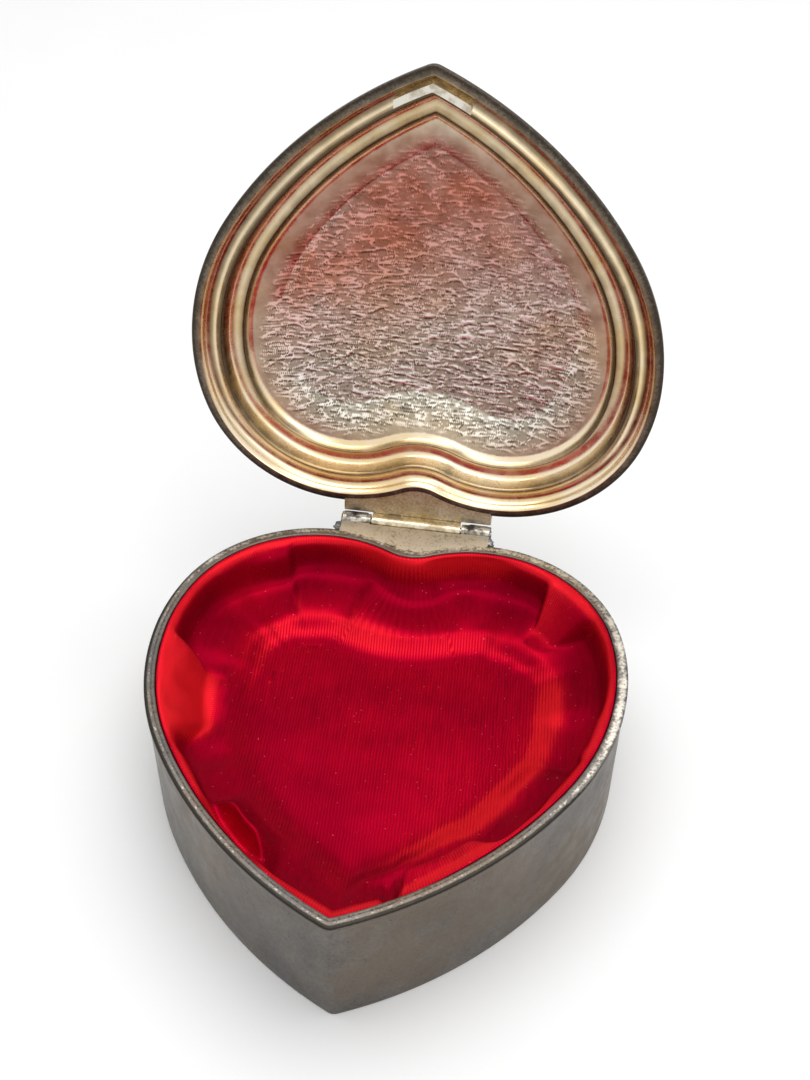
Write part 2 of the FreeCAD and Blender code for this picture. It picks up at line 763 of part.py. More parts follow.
# Movement plate: room for the well, the comb and the governor, with holes for what stands on it
bed_blocks = [
    box("2 * bed_reach", "2 * bed_reach", "bed_thickness",
        ("-bed_reach", "key_y - bed_reach", "plate_top")),
    box("comb_back + 2 * bed_margin + flange_radius", "key_y - comb_front", "bed_thickness",
        ("-flange_radius", "comb_front - bed_margin", "plate_top")),
    box("bearing_half_width + foot_length - worm_x + fan_radius",
        "comb_front - frame_y + foot_length + bed_margin", "bed_thickness",
        ("worm_x - fan_radius", "frame_y - foot_length - bed_margin / 2", "plate_top")),
]
WELL_SCREWS = [
    (f"flange_screw_circle * cos({angle})", f"key_y + flange_screw_circle * sin({angle})")
    for angle in (90, 210, 330)
]
BLOCK_SCREWS = [("comb_screw_x", f"drum_middle {side} comb_screw_spread / 2") for side in "+-"]
COMB_SCREWS = [("comb_screw_x", f"drum_middle {side} comb_screw_spread") for side in "+-"]
BRACKET_SCREWS = [
    ("-bearing_half_width - foot_length / 2", "front_post_y - (foot_length - bearing_thickness) / 2"),
    ("bearing_half_width - screw_head", "rear_plate_y - foot_length / 2"),
    ("worm_x", "frame_y - foot_length / 2"),
]
bed_tools = [rod("well_radius + well_thickness + well_fit", "bed_thickness", ("0", "key_y", "plate_top"))]
for x, y in BED_SCREWS + WELL_SCREWS + BRACKET_SCREWS:
    bed_tools.append(rod("screw_radius + screw_fit", "bed_thickness", (x, y, "plate_top")))
for x, y in BLOCK_SCREWS:
    bed_tools.append(rod("screw_radius + screw_fit", "bed_thickness", (x, y, "plate_top")))
    bed_tools.append(
        cone("screw_head + screw_fit", "screw_radius + screw_fit", "screw_head_height", (x, y, "plate_top"))
    )
bed_tools.append(
    rod("fan_shaft_radius + axle_fit", "bed_thickness", ("worm_x", "worm_y", "plate_top"))
)
keep("bedplate", cut(join(bed_blocks), bed_tools))

# Key well: a drawn hat, open below, whose roof carries the spring
well_blank = join([
    rod("well_radius + well_thickness", "roof_top - plate_top", ("0", "key_y", "plate_top")),
    rod("flange_radius", "well_thickness", ("0", "key_y", "bed_top")),
] + [rod("screw_head + ear_margin", "well_thickness", (x, y, "bed_top")) for x, y in WELL_SCREWS])
well_tools = [
    rod("well_radius", "roof_under - plate_top", ("0", "key_y", "plate_top")),
    rod("bush_radius", "well_thickness", ("0", "key_y", "roof_under")),
]
for x, y in WELL_SCREWS:
    well_tools.append(rod("screw_radius + screw_fit", "well_thickness", (x, y, "bed_top")))
keep("key_well", cut(well_blank, well_tools))
screw_group(
    "well_screws", [(x, y, "bed_top + well_thickness + screw_head_height") for x, y in WELL_SCREWS],
    "bracket_screw_length",
)

# Winding arbor with its bush, clip and butterfly key
bush = cut(
    rod("bush_radius", "well_thickness", ("0", "key_y", "roof_under")),
    [rod("arbor_radius + arbor_fit", "well_thickness", ("0", "key_y", "roof_under"))],
)
keep("arbor_bush", bush)
keep("winding_arbor", rod(
    "arbor_radius", "arbor_top - key_axis_height", ("0", "key_y", "key_axis_height")
))
keep("arbor_clip", cut(
    rod("clip_radius", "clip_thickness", ("0", "key_y", "clip_under")),
    [rod("arbor_radius", "clip_thickness", ("0", "key_y", "clip_under"))],
))
wing_back = "key_y - key_thickness / 2"
key_shapes = [
    rod("key_hub_radius", "roof_under - key_clearance - key_axis_height",
        ("0", "key_y", "key_axis_height")),
    box("2 * key_span", "key_thickness", "key_wing_radius",
        ("-key_span", wing_back, "key_axis_height - key_wing_radius / 2")),
]
key_eyes = [rod("arbor_radius", "arbor_top - key_axis_height", ("0", "key_y", "key_axis_height"))]
for x in ("-key_span", "key_span"):
    key_shapes.append(rod("key_wing_radius", "key_thickness", (x, wing_back, "key_axis_height"), ALONG))
    key_eyes.append(rod("key_eye_radius", "key_thickness", (x, wing_back, "key_axis_height"), ALONG))
keep("winding_key", cut(join(key_shapes), key_eyes))

# Spring barrel, open below, under the crown wheel
barrel_low = "roof_top + barrel_gap"
keep("spring_barrel", cut(
    rod("barrel_radius", f"crown_under - ({barrel_low})", ("0", "key_y", barrel_low)),
    [rod("barrel_radius - barrel_wall", f"crown_under - ({barrel_low})", ("0", "key_y", barrel_low))],
))


def crown_shape():
    """A disc with teeth pointing down from its rim, with a tooth space towards the pinion."""
    module, teeth = size("crown_module"), count("crown_teeth")
    inner, outer = size("crown_pitch - crown_face / 2"), size("crown_radius")
    under, thick = size("crown_under"), size("crown_thickness")
    disc = Part.makeCylinder(outer, thick, Vector(0, 0, under))
    disc = disc.cut(Part.makeCylinder(size("arbor_radius + arbor_fit"), thick, Vector(0, 0, under)))
    low = size("crown_pitch_height - crown_tip_share * crown_module")
    tip_half, root_half = (share * math.pi * module for share in CROWN_TOOTH)
    corners = [(-root_half, under), (-tip_half, low), (tip_half, low), (root_half, under)]
    points = [Vector(inner, across, height) for across, height in corners]
    tooth = Part.Face(Part.makePolygon(points + points[:1])).extrude(ACROSS * (outer - inner))
    rim = Part.makeCylinder(outer, thick + under - low, Vector(0, 0, low))
    tooth = tooth.common(rim)
    copies = []
    for number in range(teeth):
        copy = tooth.copy()
        copy.rotate(Vector(), UP, -90 + 360 * (number + 0.5) / teeth)
        copies.append(copy)
    return disc.multiFuse(copies)


crown = solid("crown_wheel", crown_shape())
crown.Placement = Placement(Vector(0, size("key_y"), 0), Rotation())


def spring_shape():
    """The mainspring: a strip in half-turn arcs, each drawn in by half the pitch. Prints its least gap."""
    ticks = 24
    half = size("spring_thickness") / 2
    step = size("spring_pitch") / 2
    outer = size("barrel_radius - barrel_wall - arbor_fit") - half - step
    halves = int((outer - size("spring_core")) / step)
    rails = {side: [] for side in (-1, 1)}
    centres = []
    for number in range(halves):
        shift = -step / 2 if number % 2 else step / 2
        radius = outer - number * step
        facing = -1 if number % 2 else 1
        centres.append((shift, radius, facing))
        for side in rails:
            edge = radius + side * half
            ends = [Vector(shift + edge, 0), Vector(shift, facing * edge), Vector(shift - edge, 0)]
            if facing < 0:
                ends.reverse()
            rails[side].append(Part.Arc(*ends).toShape())
    edges = rails[1] + rails[-1]
    for rail_end in (0, -1):
        pair = [rails[side][rail_end].valueAt(
            rails[side][rail_end].FirstParameter if rail_end == 0 else rails[side][rail_end].LastParameter
        ) for side in (-1, 1)]
        edges.append(Part.makeLine(*pair))
    outline = Part.Wire(Part.__sortEdges__(edges))
    points = []
    for shift, radius, facing in centres:
        for tick in range(ticks):
            turn = math.pi * tick / ticks
            outward = Vector(math.cos(turn), math.sin(turn)) * facing
            points.append(Vector(shift, 0) + outward * radius)
    gaps = [
        points[first].distanceToPoint(points[second]) - 2 * half
        for first in range(len(points)) for second in range(first + ticks, len(points))
    ]
    print(f"mainspring: {halves / 2:.1f} turns, least gap to itself {min(gaps):.2f} mm")
    low = size("roof_top + spring_side_gap")
    high = size("crown_under - spring_side_gap")
    return Part.Face(outline).extrude(UP * (high - low))


spring = solid("mainspring", spring_shape())
spring.Placement = Placement(Vector(0, size("key_y"), size("roof_top + spring_side_gap")), Rotation())

# Cylinder: axle, drum with end caps, pins, pinion under the crown and wheel towards the governor
axle_end = "(rear_plate_y - frame_thickness / 2)"
keep("cylinder_arbor", rod(
    "axle_radius", f"pinion_y + pinion_width / 2 + side_play - {axle_end}",
    ("0", axle_end, "axle_height"), ALONG,
))
drum = cut(
    rod("drum_radius", "drum_length", ("0", "drum_front", "axle_height"), ALONG),
    [rod("drum_radius - drum_wall", "drum_length", ("0", "drum_front", "axle_height"), ALONG)],
)
keep("cylinder_drum", drum)
caps = []
for y in ("drum_front", "drum_back - cap_thickness"):
    disc = Part.makeCylinder(size("drum_radius - drum_wall"), size("cap_thickness"), Vector(), ALONG)
    disc = disc.cut(Part.makeCylinder(size("axle_radius"), size("cap_thickness"), Vector(), ALONG))
    disc.translate(Vector(0, size(y), size("axle_height")))
    caps.append(disc)
solid("drum_end_caps", Part.makeCompound(caps))


def drum_pins():
    """Round pins standing on the drum, in one track for each note, at uneven times round it."""
    golden = (math.sqrt(5) - 1) / 2
    reach, radius = size("drum_reach"), size("pin_radius")
    core = Part.makeCylinder(size("drum_radius"), size("drum_length"), Vector(), ALONG)
    pins = []
    for note in range(count("notes")):
        for beat in range(count("pins_per_note")):
            turn = 2 * math.pi * ((note * count("pins_per_note") + beat) * golden % 1)
            y = size("drum_length") / 2 + (note + 0.5 - count("notes") / 2) * size("note_pitch")
            outward = Vector(math.cos(turn), 0, math.sin(turn))
            start = outward * size("drum_radius - pin_height") + Vector(0, y, 0)
            length = reach - size("drum_radius - pin_height")
            pins.append(Part.makeCylinder(radius, length, start, outward).cut(core))
    return Part.makeCompound([pin.Solids[0] for pin in pins])


pins = solid("cylinder_pins", drum_pins())
pins.Placement = Placement(Vector(0, size("drum_front"), size("axle_height")), Rotation())
lengthwise_gear(
    "cylinder_pinion", "pinion_teeth", "crown_module", "axle_radius", "pinion_width",
    ("0", "pinion_y - pinion_width / 2", "axle_height"), math.pi / 2,
)
toward_governor = math.atan2(-size("governor_drop"), size("governor_x"))
lengthwise_gear(
    "cylinder_wheel", "wheel_teeth", "fine_module", "axle_radius", "wheel_width",
    ("0", "wheel_y", "axle_height"), toward_governor,
)


def standing_plate(place_y, thickness, half_width, top, extras, holes):
    """A bearing plate across the movement, with extra blocks and bores along Y given as (radius, x, z)."""
    shapes = [
        box(f"2 * {half_width}", thickness, f"{top} - bed_top", (f"-{half_width}", place_y, "bed_top"))
    ]
    bores = [rod(radius, thickness, (x, place_y, z), ALONG) for radius, x, z in holes]
    return cut(join(shapes + extras), bores)


axle_bore = ("axle_radius + axle_fit", "0", "axle_height")
governor_bore = ("governor_axle_radius + axle_fit", "governor_x", "governor_z")
plate_rise = "axle_height + bearing_rise"
front_foot = box(
    "foot_length", "foot_length", "foot_thickness",
    ("-bearing_half_width - foot_length", "front_post_y + bearing_thickness - foot_length", "bed_top"),
)
front_web = box(
    "foot_length", "bearing_thickness", "foot_thickness + bearing_half_width",
    ("-bearing_half_width - foot_length", "front_post_y", "bed_top"),
)
front_post = standing_plate(
    "front_post_y", "bearing_thickness", "bearing_half_width", plate_rise,
    [front_foot, front_web], [axle_bore],
)


def screw_hole(place):
    """A clearance hole down through a bracket's foot."""
    return rod("screw_radius + screw_fit", "foot_thickness", (*place, "bed_top"))


keep("front_bearing_post", cut(front_post, [screw_hole(BRACKET_SCREWS[0])]))
rear_wing = box(
    "-governor_x + bearing_rise - bearing_half_width + governor_axle_radius", "bearing_thickness",
    "governor_z + bearing_rise - bed_top",
    ("governor_x - bearing_rise", "rear_plate_y", "bed_top"),
)
rear_foot = box(
    "2 * screw_head", "foot_length", "foot_thickness",
    ("bearing_half_width - 2 * screw_head", "rear_plate_y - foot_length", "bed_top"),
)
rear_plate = standing_plate(
    "rear_plate_y", "bearing_thickness", "bearing_half_width", plate_rise,
    [rear_wing, rear_foot], [axle_bore, governor_bore],
)
keep("rear_bearing_plate", cut(rear_plate, [screw_hole(BRACKET_SCREWS[1])]))

# Comb: teeth that shorten towards the treble, on a block, with its screws
keep("comb_block", cut(
    box("comb_heel", "comb_width", "comb_under - bed_top", ("comb_root", "comb_front", "bed_top")),
    [rod("screw_radius + screw_fit", "comb_screw_length", (x, y, "bed_top")) for x, y in BLOCK_SCREWS]
    + [rod("screw_radius + screw_fit", "comb_screw_length", (x, y, "comb_under - comb_screw_length"))
       for x, y in COMB_SCREWS],
))


def comb_shape():
    """The comb's outline as a flat plate, one tooth for each note, drilled for its screws."""
    notes, pitch, slot = count("notes"), size("note_pitch"), size("tooth_slot")
    tip, root, back = size("comb_tip"), size("comb_root"), size("comb_back")
    points = [Vector(back, 0)]
    for note in range(notes):
        share = note / max(1, notes - 1)
        slot_end = root - share * size("treble_shortening")
        low, high = note * pitch, (note + 1) * pitch
        points += [Vector(tip, low), Vector(tip, high - slot)]
        if note < notes - 1:
            points += [Vector(slot_end, high - slot), Vector(slot_end, high)]
    points += [Vector(back, notes * pitch - slot)]
    plate = Part.Face(Part.makePolygon(points + points[:1])).extrude(UP * size("comb_thickness"))
    plate.translate(Vector(0, size("comb_front"), size("comb_under")))
    for x, y in COMB_SCREWS:
        foot = Vector(size(x), size(y), size("comb_under"))
        plate = plate.cut(Part.makeCylinder(size("screw_radius + screw_fit"), size("comb_thickness"), foot))
    return plate


solid("comb", comb_shape())
screw_group(
    "comb_screws",
    [(x, y, "comb_under + comb_thickness + screw_head_height") for x, y in COMB_SCREWS],
    "comb_screw_length",
)
screw_group("block_screws", [(x, y, "plate_top") for x, y in BLOCK_SCREWS], "comb_screw_length", 1, True)

# Governor: axle with pinion and worm wheel, the frame that holds it, and the worm with its fan
governor_end = "(frame_y - governor_axle_radius / 2)"
keep("governor_arbor", rod(
    "governor_axle_radius", f"wheel_y + wheel_width + side_play / 2 - {governor_end}",
    ("governor_x", governor_end, "governor_z"), ALONG,
))
lengthwise_gear(
    "governor_pinion", "governor_teeth", "fine_module", "governor_axle_radius", "wheel_width + side_play / 2",
    ("governor_x", "wheel_y - side_play / 4", "governor_z"),
    toward_governor + math.pi + math.pi / count("governor_teeth"),
)
lengthwise_gear(
    "worm_wheel", "worm_wheel_teeth", "fine_module", "governor_axle_radius", "worm_wheel_width",
    ("governor_x", "worm_y - worm_wheel_width / 2", "governor_z"), math.pi,
)
frame_width = "bearing_rise + governor_x - worm_x + fan_shaft_radius + bearing_rise"
frame_left = "worm_x - bearing_rise"
governor_frame = join([
    box(frame_width, "frame_thickness", "frame_top + frame_thickness - bed_top",
        (frame_left, "frame_y", "bed_top")),
    box("2 * bearing_rise", "foot_length", "foot_thickness",
        (frame_left, "frame_y - foot_length", "bed_top")),
    box("2 * bearing_rise", "worm_y - frame_y + bearing_rise / 2", "frame_thickness",
        (frame_left, "frame_y", "frame_top")),
])
frame_bores = [
    rod("governor_axle_radius + axle_fit", "frame_thickness", ("governor_x", "frame_y", "governor_z"), ALONG),
    rod("fan_shaft_radius + axle_fit", "frame_thickness", ("worm_x", "worm_y", "frame_top")),
    screw_hole(BRACKET_SCREWS[2]),
]
keep("governor_frame", cut(governor_frame, frame_bores))
screw_group(
    "bracket_screws",
    [(x, y, "bed_top + foot_thickness + screw_head_height") for x, y in BRACKET_SCREWS],
    "bracket_screw_length",
)


def worm_shape():
    """A one-start right-hand worm on its shaft, with a thread space towards the wheel's middle tooth."""
    module, pitch_radius = size("fine_module"), size("worm_radius")
    lead = math.pi * module
    half_length = size("worm_half_length")
    root, tip = pitch_radius - TOOTH_BELOW * module, pitch_radius + TOOTH_ABOVE * module
    turns = round(2 * half_length / lead)
    helix = Part.makeHelix(lead, turns * lead, pitch_radius)
    tip_half, root_half = (share * lead for share in WORM_THREAD)
    sunk = root - module / 2
    corners = [(sunk, -root_half), (tip, -tip_half), (tip, tip_half), (sunk, root_half)]
    points = [Vector(radius, 0, height) for radius, height in corners]
    profile = Part.makePolygon(points + points[:1])
    thread = Part.Wire(helix).makePipeShell([profile], True, True)
    start = lead / 2 - lead * round(turns / 2)
    thread.translate(UP * (size("governor_z") + start))
    core_foot = UP * (size("governor_z") - half_length - lead / 2)
    core = Part.makeCylinder(root, 2 * half_length + lead, core_foot)
    low = size("plate_top + bed_thickness / 2")
    shaft = Part.makeCylinder(
        size("fan_shaft_radius"), size("frame_top + frame_thickness") - low, Vector(0, 0, low)
    )
    return core.fuse(thread).fuse(shaft)


worm = solid("worm_shaft", worm_shape())
worm.Placement = Placement(Vector(size("worm_x"), size("worm_y"), 0), Rotation())
fan_blank = join([
    rod("2 * fan_shaft_radius", "fan_height", ("worm_x", "worm_y", "fan_under")),
    box("2 * fan_radius - fan_thickness", "fan_thickness", "fan_height",
        ("worm_x - fan_radius + fan_thickness / 2", "worm_y - fan_thickness / 2", "fan_under")),
])
keep("fan", cut(fan_blank, [rod("fan_shaft_radius", "fan_height", ("worm_x", "worm_y", "fan_under"))]))

# Open the lid about the hinge pin
doc.recompute()
hinge = Vector(0, size("hinge_y"), size("hinge_z"))
opened = Placement(Vector(), Rotation(ACROSS, -size("open_angle")), hinge)
for label in ("lid_shell", "lid_hinge_leaf", "lid_catch"):
    nodes[label].Placement = opened.multiply(nodes[label].Placement)
doc.recompute()

# Check every object and every piece, then write the pieces
for thing in doc.Objects:
    if "Invalid" in thing.State or "Error" in thing.State:
        raise RuntimeError(f"{thing.Label} ({thing.Name}) failed: {thing.State}")
for label, thing in nodes.items():
    if thing.Shape.isNull() or not thing.Shape.isValid():
        raise RuntimeError(f"{label} has no valid shape")
os.makedirs("parts", exist_ok=True)
for label, thing in nodes.items():
    thing.Shape.exportStep(f"parts/{label}.step")
    print(f"{label}: {len(thing.Shape.Solids)} solids, {thing.Shape.Volume:.1f} mm3")
for name in ("hinge_y", "hinge_z", "key_y", "axle_height", "governor_x", "governor_z", "worm_x", "worm_y"):
    print(f"{name} {size(name):.4f}")
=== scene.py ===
"""Looks of a heart-shaped wind-up music box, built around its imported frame."""

import json
import logging
import math
from dataclasses import dataclass, field
from enum import Enum

import bmesh
import bpy
import numpy as np
from mathutils import Matrix, Vector, noise
from mathutils.geometry import delaunay_2d_cdt

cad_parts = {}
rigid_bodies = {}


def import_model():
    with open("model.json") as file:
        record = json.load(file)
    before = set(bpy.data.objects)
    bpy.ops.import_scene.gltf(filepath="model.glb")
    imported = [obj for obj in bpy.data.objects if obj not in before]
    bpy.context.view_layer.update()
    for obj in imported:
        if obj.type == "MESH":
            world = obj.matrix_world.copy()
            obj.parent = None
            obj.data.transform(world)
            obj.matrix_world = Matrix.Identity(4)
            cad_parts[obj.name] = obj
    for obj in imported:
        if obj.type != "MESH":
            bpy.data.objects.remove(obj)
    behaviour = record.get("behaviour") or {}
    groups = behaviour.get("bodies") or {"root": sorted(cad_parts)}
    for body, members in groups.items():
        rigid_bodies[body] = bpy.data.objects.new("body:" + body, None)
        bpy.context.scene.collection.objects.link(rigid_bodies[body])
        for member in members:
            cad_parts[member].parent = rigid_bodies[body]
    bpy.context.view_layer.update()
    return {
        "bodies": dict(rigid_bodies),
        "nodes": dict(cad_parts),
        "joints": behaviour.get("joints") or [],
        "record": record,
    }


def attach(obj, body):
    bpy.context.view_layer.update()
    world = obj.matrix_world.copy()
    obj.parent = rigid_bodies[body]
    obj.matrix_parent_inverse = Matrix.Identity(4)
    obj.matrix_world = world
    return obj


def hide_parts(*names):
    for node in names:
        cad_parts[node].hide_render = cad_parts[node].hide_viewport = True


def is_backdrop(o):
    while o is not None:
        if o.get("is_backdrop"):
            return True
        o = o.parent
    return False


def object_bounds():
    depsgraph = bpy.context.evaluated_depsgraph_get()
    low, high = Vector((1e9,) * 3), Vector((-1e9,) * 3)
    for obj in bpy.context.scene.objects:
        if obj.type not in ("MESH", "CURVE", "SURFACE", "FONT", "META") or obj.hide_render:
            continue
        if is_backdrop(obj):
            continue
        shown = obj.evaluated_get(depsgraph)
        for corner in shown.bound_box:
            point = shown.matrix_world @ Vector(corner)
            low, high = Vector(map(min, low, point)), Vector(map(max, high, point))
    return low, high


Pair = tuple[float, float]
Triple = tuple[float, float, float]
Faces = list[tuple[int, ...]]
Piece = bpy.types.Object

LOG = logging.getLogger("music_box")
MM = 0.001
HINGE = (0.0, 55.4924, 30.6)
OPEN_ANGLE = math.radians(96.3)


class Grain(Enum):
    """How coarse a casting's skin is, as noise scales per metre."""

    PATCH = 55.0
    BLOTCH = 260.0
    PIT = 1300.0
    DUST = 5200.0


@dataclass(frozen=True)
class HeartOutline:
    """The heart seen from above: ten arcs that can be drawn in by an inset, in millimetres."""

    half_width: float = 50.0
    widest_line: float = 14.35
    shoulder_radius: float = 46.25
    shoulder_angle: float = math.radians(17.76)
    lobe_radius: float = 31.85
    notch_radius: float = 7.85
    cheek_radius: float = 55.2
    cheek_angle: float = math.radians(32.37)
    side_radius: float = 92.4
    tip_radius: float = 2.4
    tip_least: float = 0.8

    def arcs(self, inset: float) -> list[tuple[np.ndarray, float, float, float]]:
        """The arcs in order from the tip, round by the right.

        Args:
            inset: distance inside the case's outline.

        Returns:
            Centre, radius, start and end angle of each arc.
        """
        reach = self.shoulder_radius - self.lobe_radius
        lobe_x = self.half_width - self.shoulder_radius + reach * math.cos(self.shoulder_angle)
        lobe_y = self.widest_line + reach * math.sin(self.shoulder_angle)
        notch_y = lobe_y + math.sqrt((self.lobe_radius + self.notch_radius) ** 2 - lobe_x**2)
        run = self.side_radius - self.cheek_radius
        side_x = self.half_width - self.cheek_radius - run * math.cos(self.cheek_angle)
        side_y = self.widest_line + run * math.sin(self.cheek_angle)
        tip = max(self.tip_radius - inset, self.tip_least)
        side_radius = self.side_radius - inset
        tip_y = side_y - math.sqrt((side_radius - tip) ** 2 - side_x**2)
        tip_turn = math.atan2(tip_y - side_y, -side_x)
        notch_turn = math.atan2(notch_y - lobe_y, -lobe_x)
        right = [
            ((side_x, side_y), side_radius, tip_turn, -self.cheek_angle),
            ((self.half_width - self.cheek_radius, self.widest_line), self.cheek_radius - inset,
             -self.cheek_angle, 0.0),
            ((self.half_width - self.shoulder_radius, self.widest_line), self.shoulder_radius - inset,
             0.0, self.shoulder_angle),
            ((lobe_x, lobe_y), self.lobe_radius - inset, self.shoulder_angle, notch_turn),
        ]
        left = [
            ((-centre[0], centre[1]), radius, math.pi - end, math.pi - start)
            for centre, radius, start, end in reversed(right)
        ]
        tip_arc = ((0.0, tip_y), tip, -math.pi - tip_turn, tip_turn)
        notch = ((0.0, notch_y), self.notch_radius + inset, notch_turn - math.pi, -notch_turn)
        arcs = [tip_arc, *right, notch, *left]
        return [(np.array(centre), radius, start, end) for centre, radius, start, end in arcs]

    def ring(self, inset: float, step: float) -> np.ndarray:
        """Points round the outline, the same number at every inset.

        Args:
            inset: distance inside the case's outline.
            step: spacing of the points on the outline itself.

        Returns:
            The points as an array of pairs.
        """
        points = []
        for whole, (centre, radius, start, end) in zip(self.arcs(0.0), self.arcs(inset)):
            number = max(6, math.ceil(abs(whole[3] - whole[2]) * whole[1] / step))
            turn = start + (end - start) * np.arange(number) / number
            points.append(centre + radius * np.stack([np.cos(turn), np.sin(turn)], axis=1))
        return np.concatenate(points)

    def rings(self, profile: np.ndarray, step: float) -> np.ndarray:
        """Rings of points at the insets and levels of a profile.

        Args:
            profile: inset and level of each ring.
            step: spacing of the points on the outline itself.

        Returns:
            The points, as an array of rings.
        """
        made = []
        for inset, level in profile:
            plan = self.ring(inset, step)
            made.append(np.column_stack([plan, np.full(len(plan), level)]))
        return np.array(made)


class Meshes:
    """Ways to make the meshes of the pieces from points in millimetres."""

    @staticmethod
    def smooth_profile(points: object, rounds: int, closed: bool = False) -> np.ndarray:
        """A profile with its corners cut off again and again.

        Args:
            points: the corners of the profile, or rows of numbers in their place.
            rounds: how many times the corners are cut.
            closed: whether the last corner joins the first.

        Returns:
            The rounded profile as an array.
        """
        line = np.array(points, float)
        for _ in range(rounds):
            following = np.roll(line, -1, axis=0) if closed else line[1:]
            before = line if closed else line[:-1]
            near = 0.75 * before + 0.25 * following
            far = 0.25 * before + 0.75 * following
            cut = np.stack([near, far], axis=1).reshape(-1, *line.shape[1:])
            line = cut if closed else np.concatenate([line[:1], cut[1:-1], line[-1:]])
        return line

    @staticmethod
    def skin(rows: int, columns: int, closed: bool = False) -> Faces:
        """Quads between rings of points.

        Args:
            rows: how many rings.
            columns: how many points in each ring, which is closed.
            closed: whether the last ring joins the first.

        Returns:
            The faces as tuples of indices.
        """
        faces = []
        for row in range(rows if closed else rows - 1):
            upper = (row + 1) % rows
            for column in range(columns):
                following = (column + 1) % columns
                faces.append((
                    row * columns + column, row * columns + following,
                    upper * columns + following, upper * columns + column,
                ))
        return faces

    @staticmethod
    def fill(ring: np.ndarray, pitch: Pair) -> tuple[np.ndarray, Faces]:
        """Triangles inside a closed outline, on a grid of inner points.

        Args:
            ring: the outline, in order.
            pitch: spacing of the grid along X and Y.

        Returns:
            The inner points, and faces whose indices count the ring first and then the inner points.
        """
        low, high = ring.min(axis=0), ring.max(axis=0)
        columns = np.arange(low[0], high[0], pitch[0])
        rows = np.arange(low[1], high[1], pitch[1])
        across, along = np.meshgrid(columns, rows)
        across = across + 0.5 * pitch[0] * (np.arange(len(rows)) % 2)[:, None]
        grid = np.stack([across.ravel(), along.ravel()], axis=1)
        inside = grid[Meshes.depth_inside(grid, ring) > 1.4 * min(pitch)]
        corners = [Vector(point) for point in np.concatenate([ring, inside])]
        edges = [(index, (index + 1) % len(ring)) for index in range(len(ring))]
        _, _, faces, origins, _, _ = delaunay_2d_cdt(corners, edges, [], 1, 1e-6)
        back = [origin[0] if origin else -1 for origin in origins]
        faces = [tuple(back[index] for index in face) for face in faces]
        return inside, [face for face in faces if min(face) >= 0]

    @staticmethod
    def renumber(faces: Faces, number: int, ring: int, inner: int) -> Faces:
        """Faces of a filled outline, with indices that fit a whole mesh.

        Args:
            faces: faces that count the outline's points first and then the inner points.
            number: how many points the outline has.
            ring: where the outline's points start in the mesh.
            inner: where the inner points start in the mesh.

        Returns:
            The faces with their new indices.
        """
        return [tuple(i + ring if i < number else i - number + inner for i in face) for face in faces]

    @staticmethod
    def depth_inside(points: np.ndarray, ring: np.ndarray) -> np.ndarray:
        """How far points are inside a closed outline, negative outside.

        Args:
            points: the points to place.
            ring: the outline, in order, anticlockwise.

        Returns:
            The signed distance of each point.
        """
        tangent = np.roll(ring, -1, axis=0) - np.roll(ring, 1, axis=0)
        normal = np.stack([tangent[:, 1], -tangent[:, 0]], axis=1)
        normal /= np.linalg.norm(normal, axis=1)[:, None]
        depth = np.empty(len(points))
        batch = 4000
        for first in range(0, len(points), batch):
            some = points[first:first + batch]
            gap = some[:, None, :] - ring[None, :, :]
            nearest = np.argmin((gap**2).sum(axis=2), axis=1)
            away = gap[np.arange(len(some)), nearest]
            sign = -np.sign((away * normal[nearest]).sum(axis=1))
            distance = np.linalg.norm(away, axis=1)
            for side in (1, -1):
                span = ring[(nearest + side) % len(ring)] - ring[nearest]
                share = np.clip((away * span).sum(axis=1) / (span**2).sum(axis=1), 0.0, 1.0)
                distance = np.minimum(distance, np.linalg.norm(away - share[:, None] * span, axis=1))
            depth[first:first + batch] = sign * distance
        return depth

    @staticmethod
    def add(name: str, points: np.ndarray, faces: Faces) -> Piece:
        """A smooth-shaded object with its faces turned outwards.

        Args:
            name: name of the piece.
            points: its points, in millimetres.
            faces: its faces.

        Returns:
            The new object.
        """
        mesh = bpy.data.meshes.new(name)
        mesh.from_pydata((np.asarray(points) * MM).tolist(), [], faces)
        form = bmesh.new()
        form.from_mesh(mesh)
        bmesh.ops.recalc_face_normals(form, faces=form.faces)
        form.to_mesh(mesh)
        form.free()
        mesh.polygons.foreach_set("use_smooth", [True] * len(mesh.polygons))
        piece = bpy.data.objects.new(name, mesh)
        bpy.context.scene.collection.objects.link(piece)
        return piece

    @staticmethod
    def mark(piece: Piece, **marks: object) -> None:
        """Store numbers on a piece's points for its finish to read.

        Args:
            piece: the piece.
            marks: by name, one number for each point or one for all.
        """
        for name, value in marks.items():
            values = np.broadcast_to(value, len(piece.data.vertices))
            layer = piece.data.attributes.new(name, "FLOAT", "POINT")
            layer.data.foreach_set("value", np.ascontiguousarray(values, np.float32))

    @staticmethod
    def fade(value: np.ndarray, zero: float, one: float) -> np.ndarray:
        """How far values are on the way from one number to another, kept from 0 to 1."""
        return np.clip((value - zero) / (one - zero), 0.0, 1.0)

    @staticmethod
    def prism(name: str, outline: np.ndarray, low: float, high: float, round_off: float) -> Piece:
        """A block with a given plan and softened edges.

        Args:
            name: name of the piece.
            outline: its plan, in order.
            low: its underside.
            high: its top.
            round_off: how far its edges are rounded.

        Returns:
            The new object.
        """
        number = len(outline)
        points = np.concatenate([
            np.column_stack([outline, np.full(number, low)]),
            np.column_stack([outline, np.full(number, high)]),
        ])
        faces = Meshes.skin(2, number)
        faces += [tuple(range(number)), tuple(range(number, 2 * number))]
        piece = Meshes.add(name, points, faces)
        Meshes.soften(piece, round_off)
        return piece

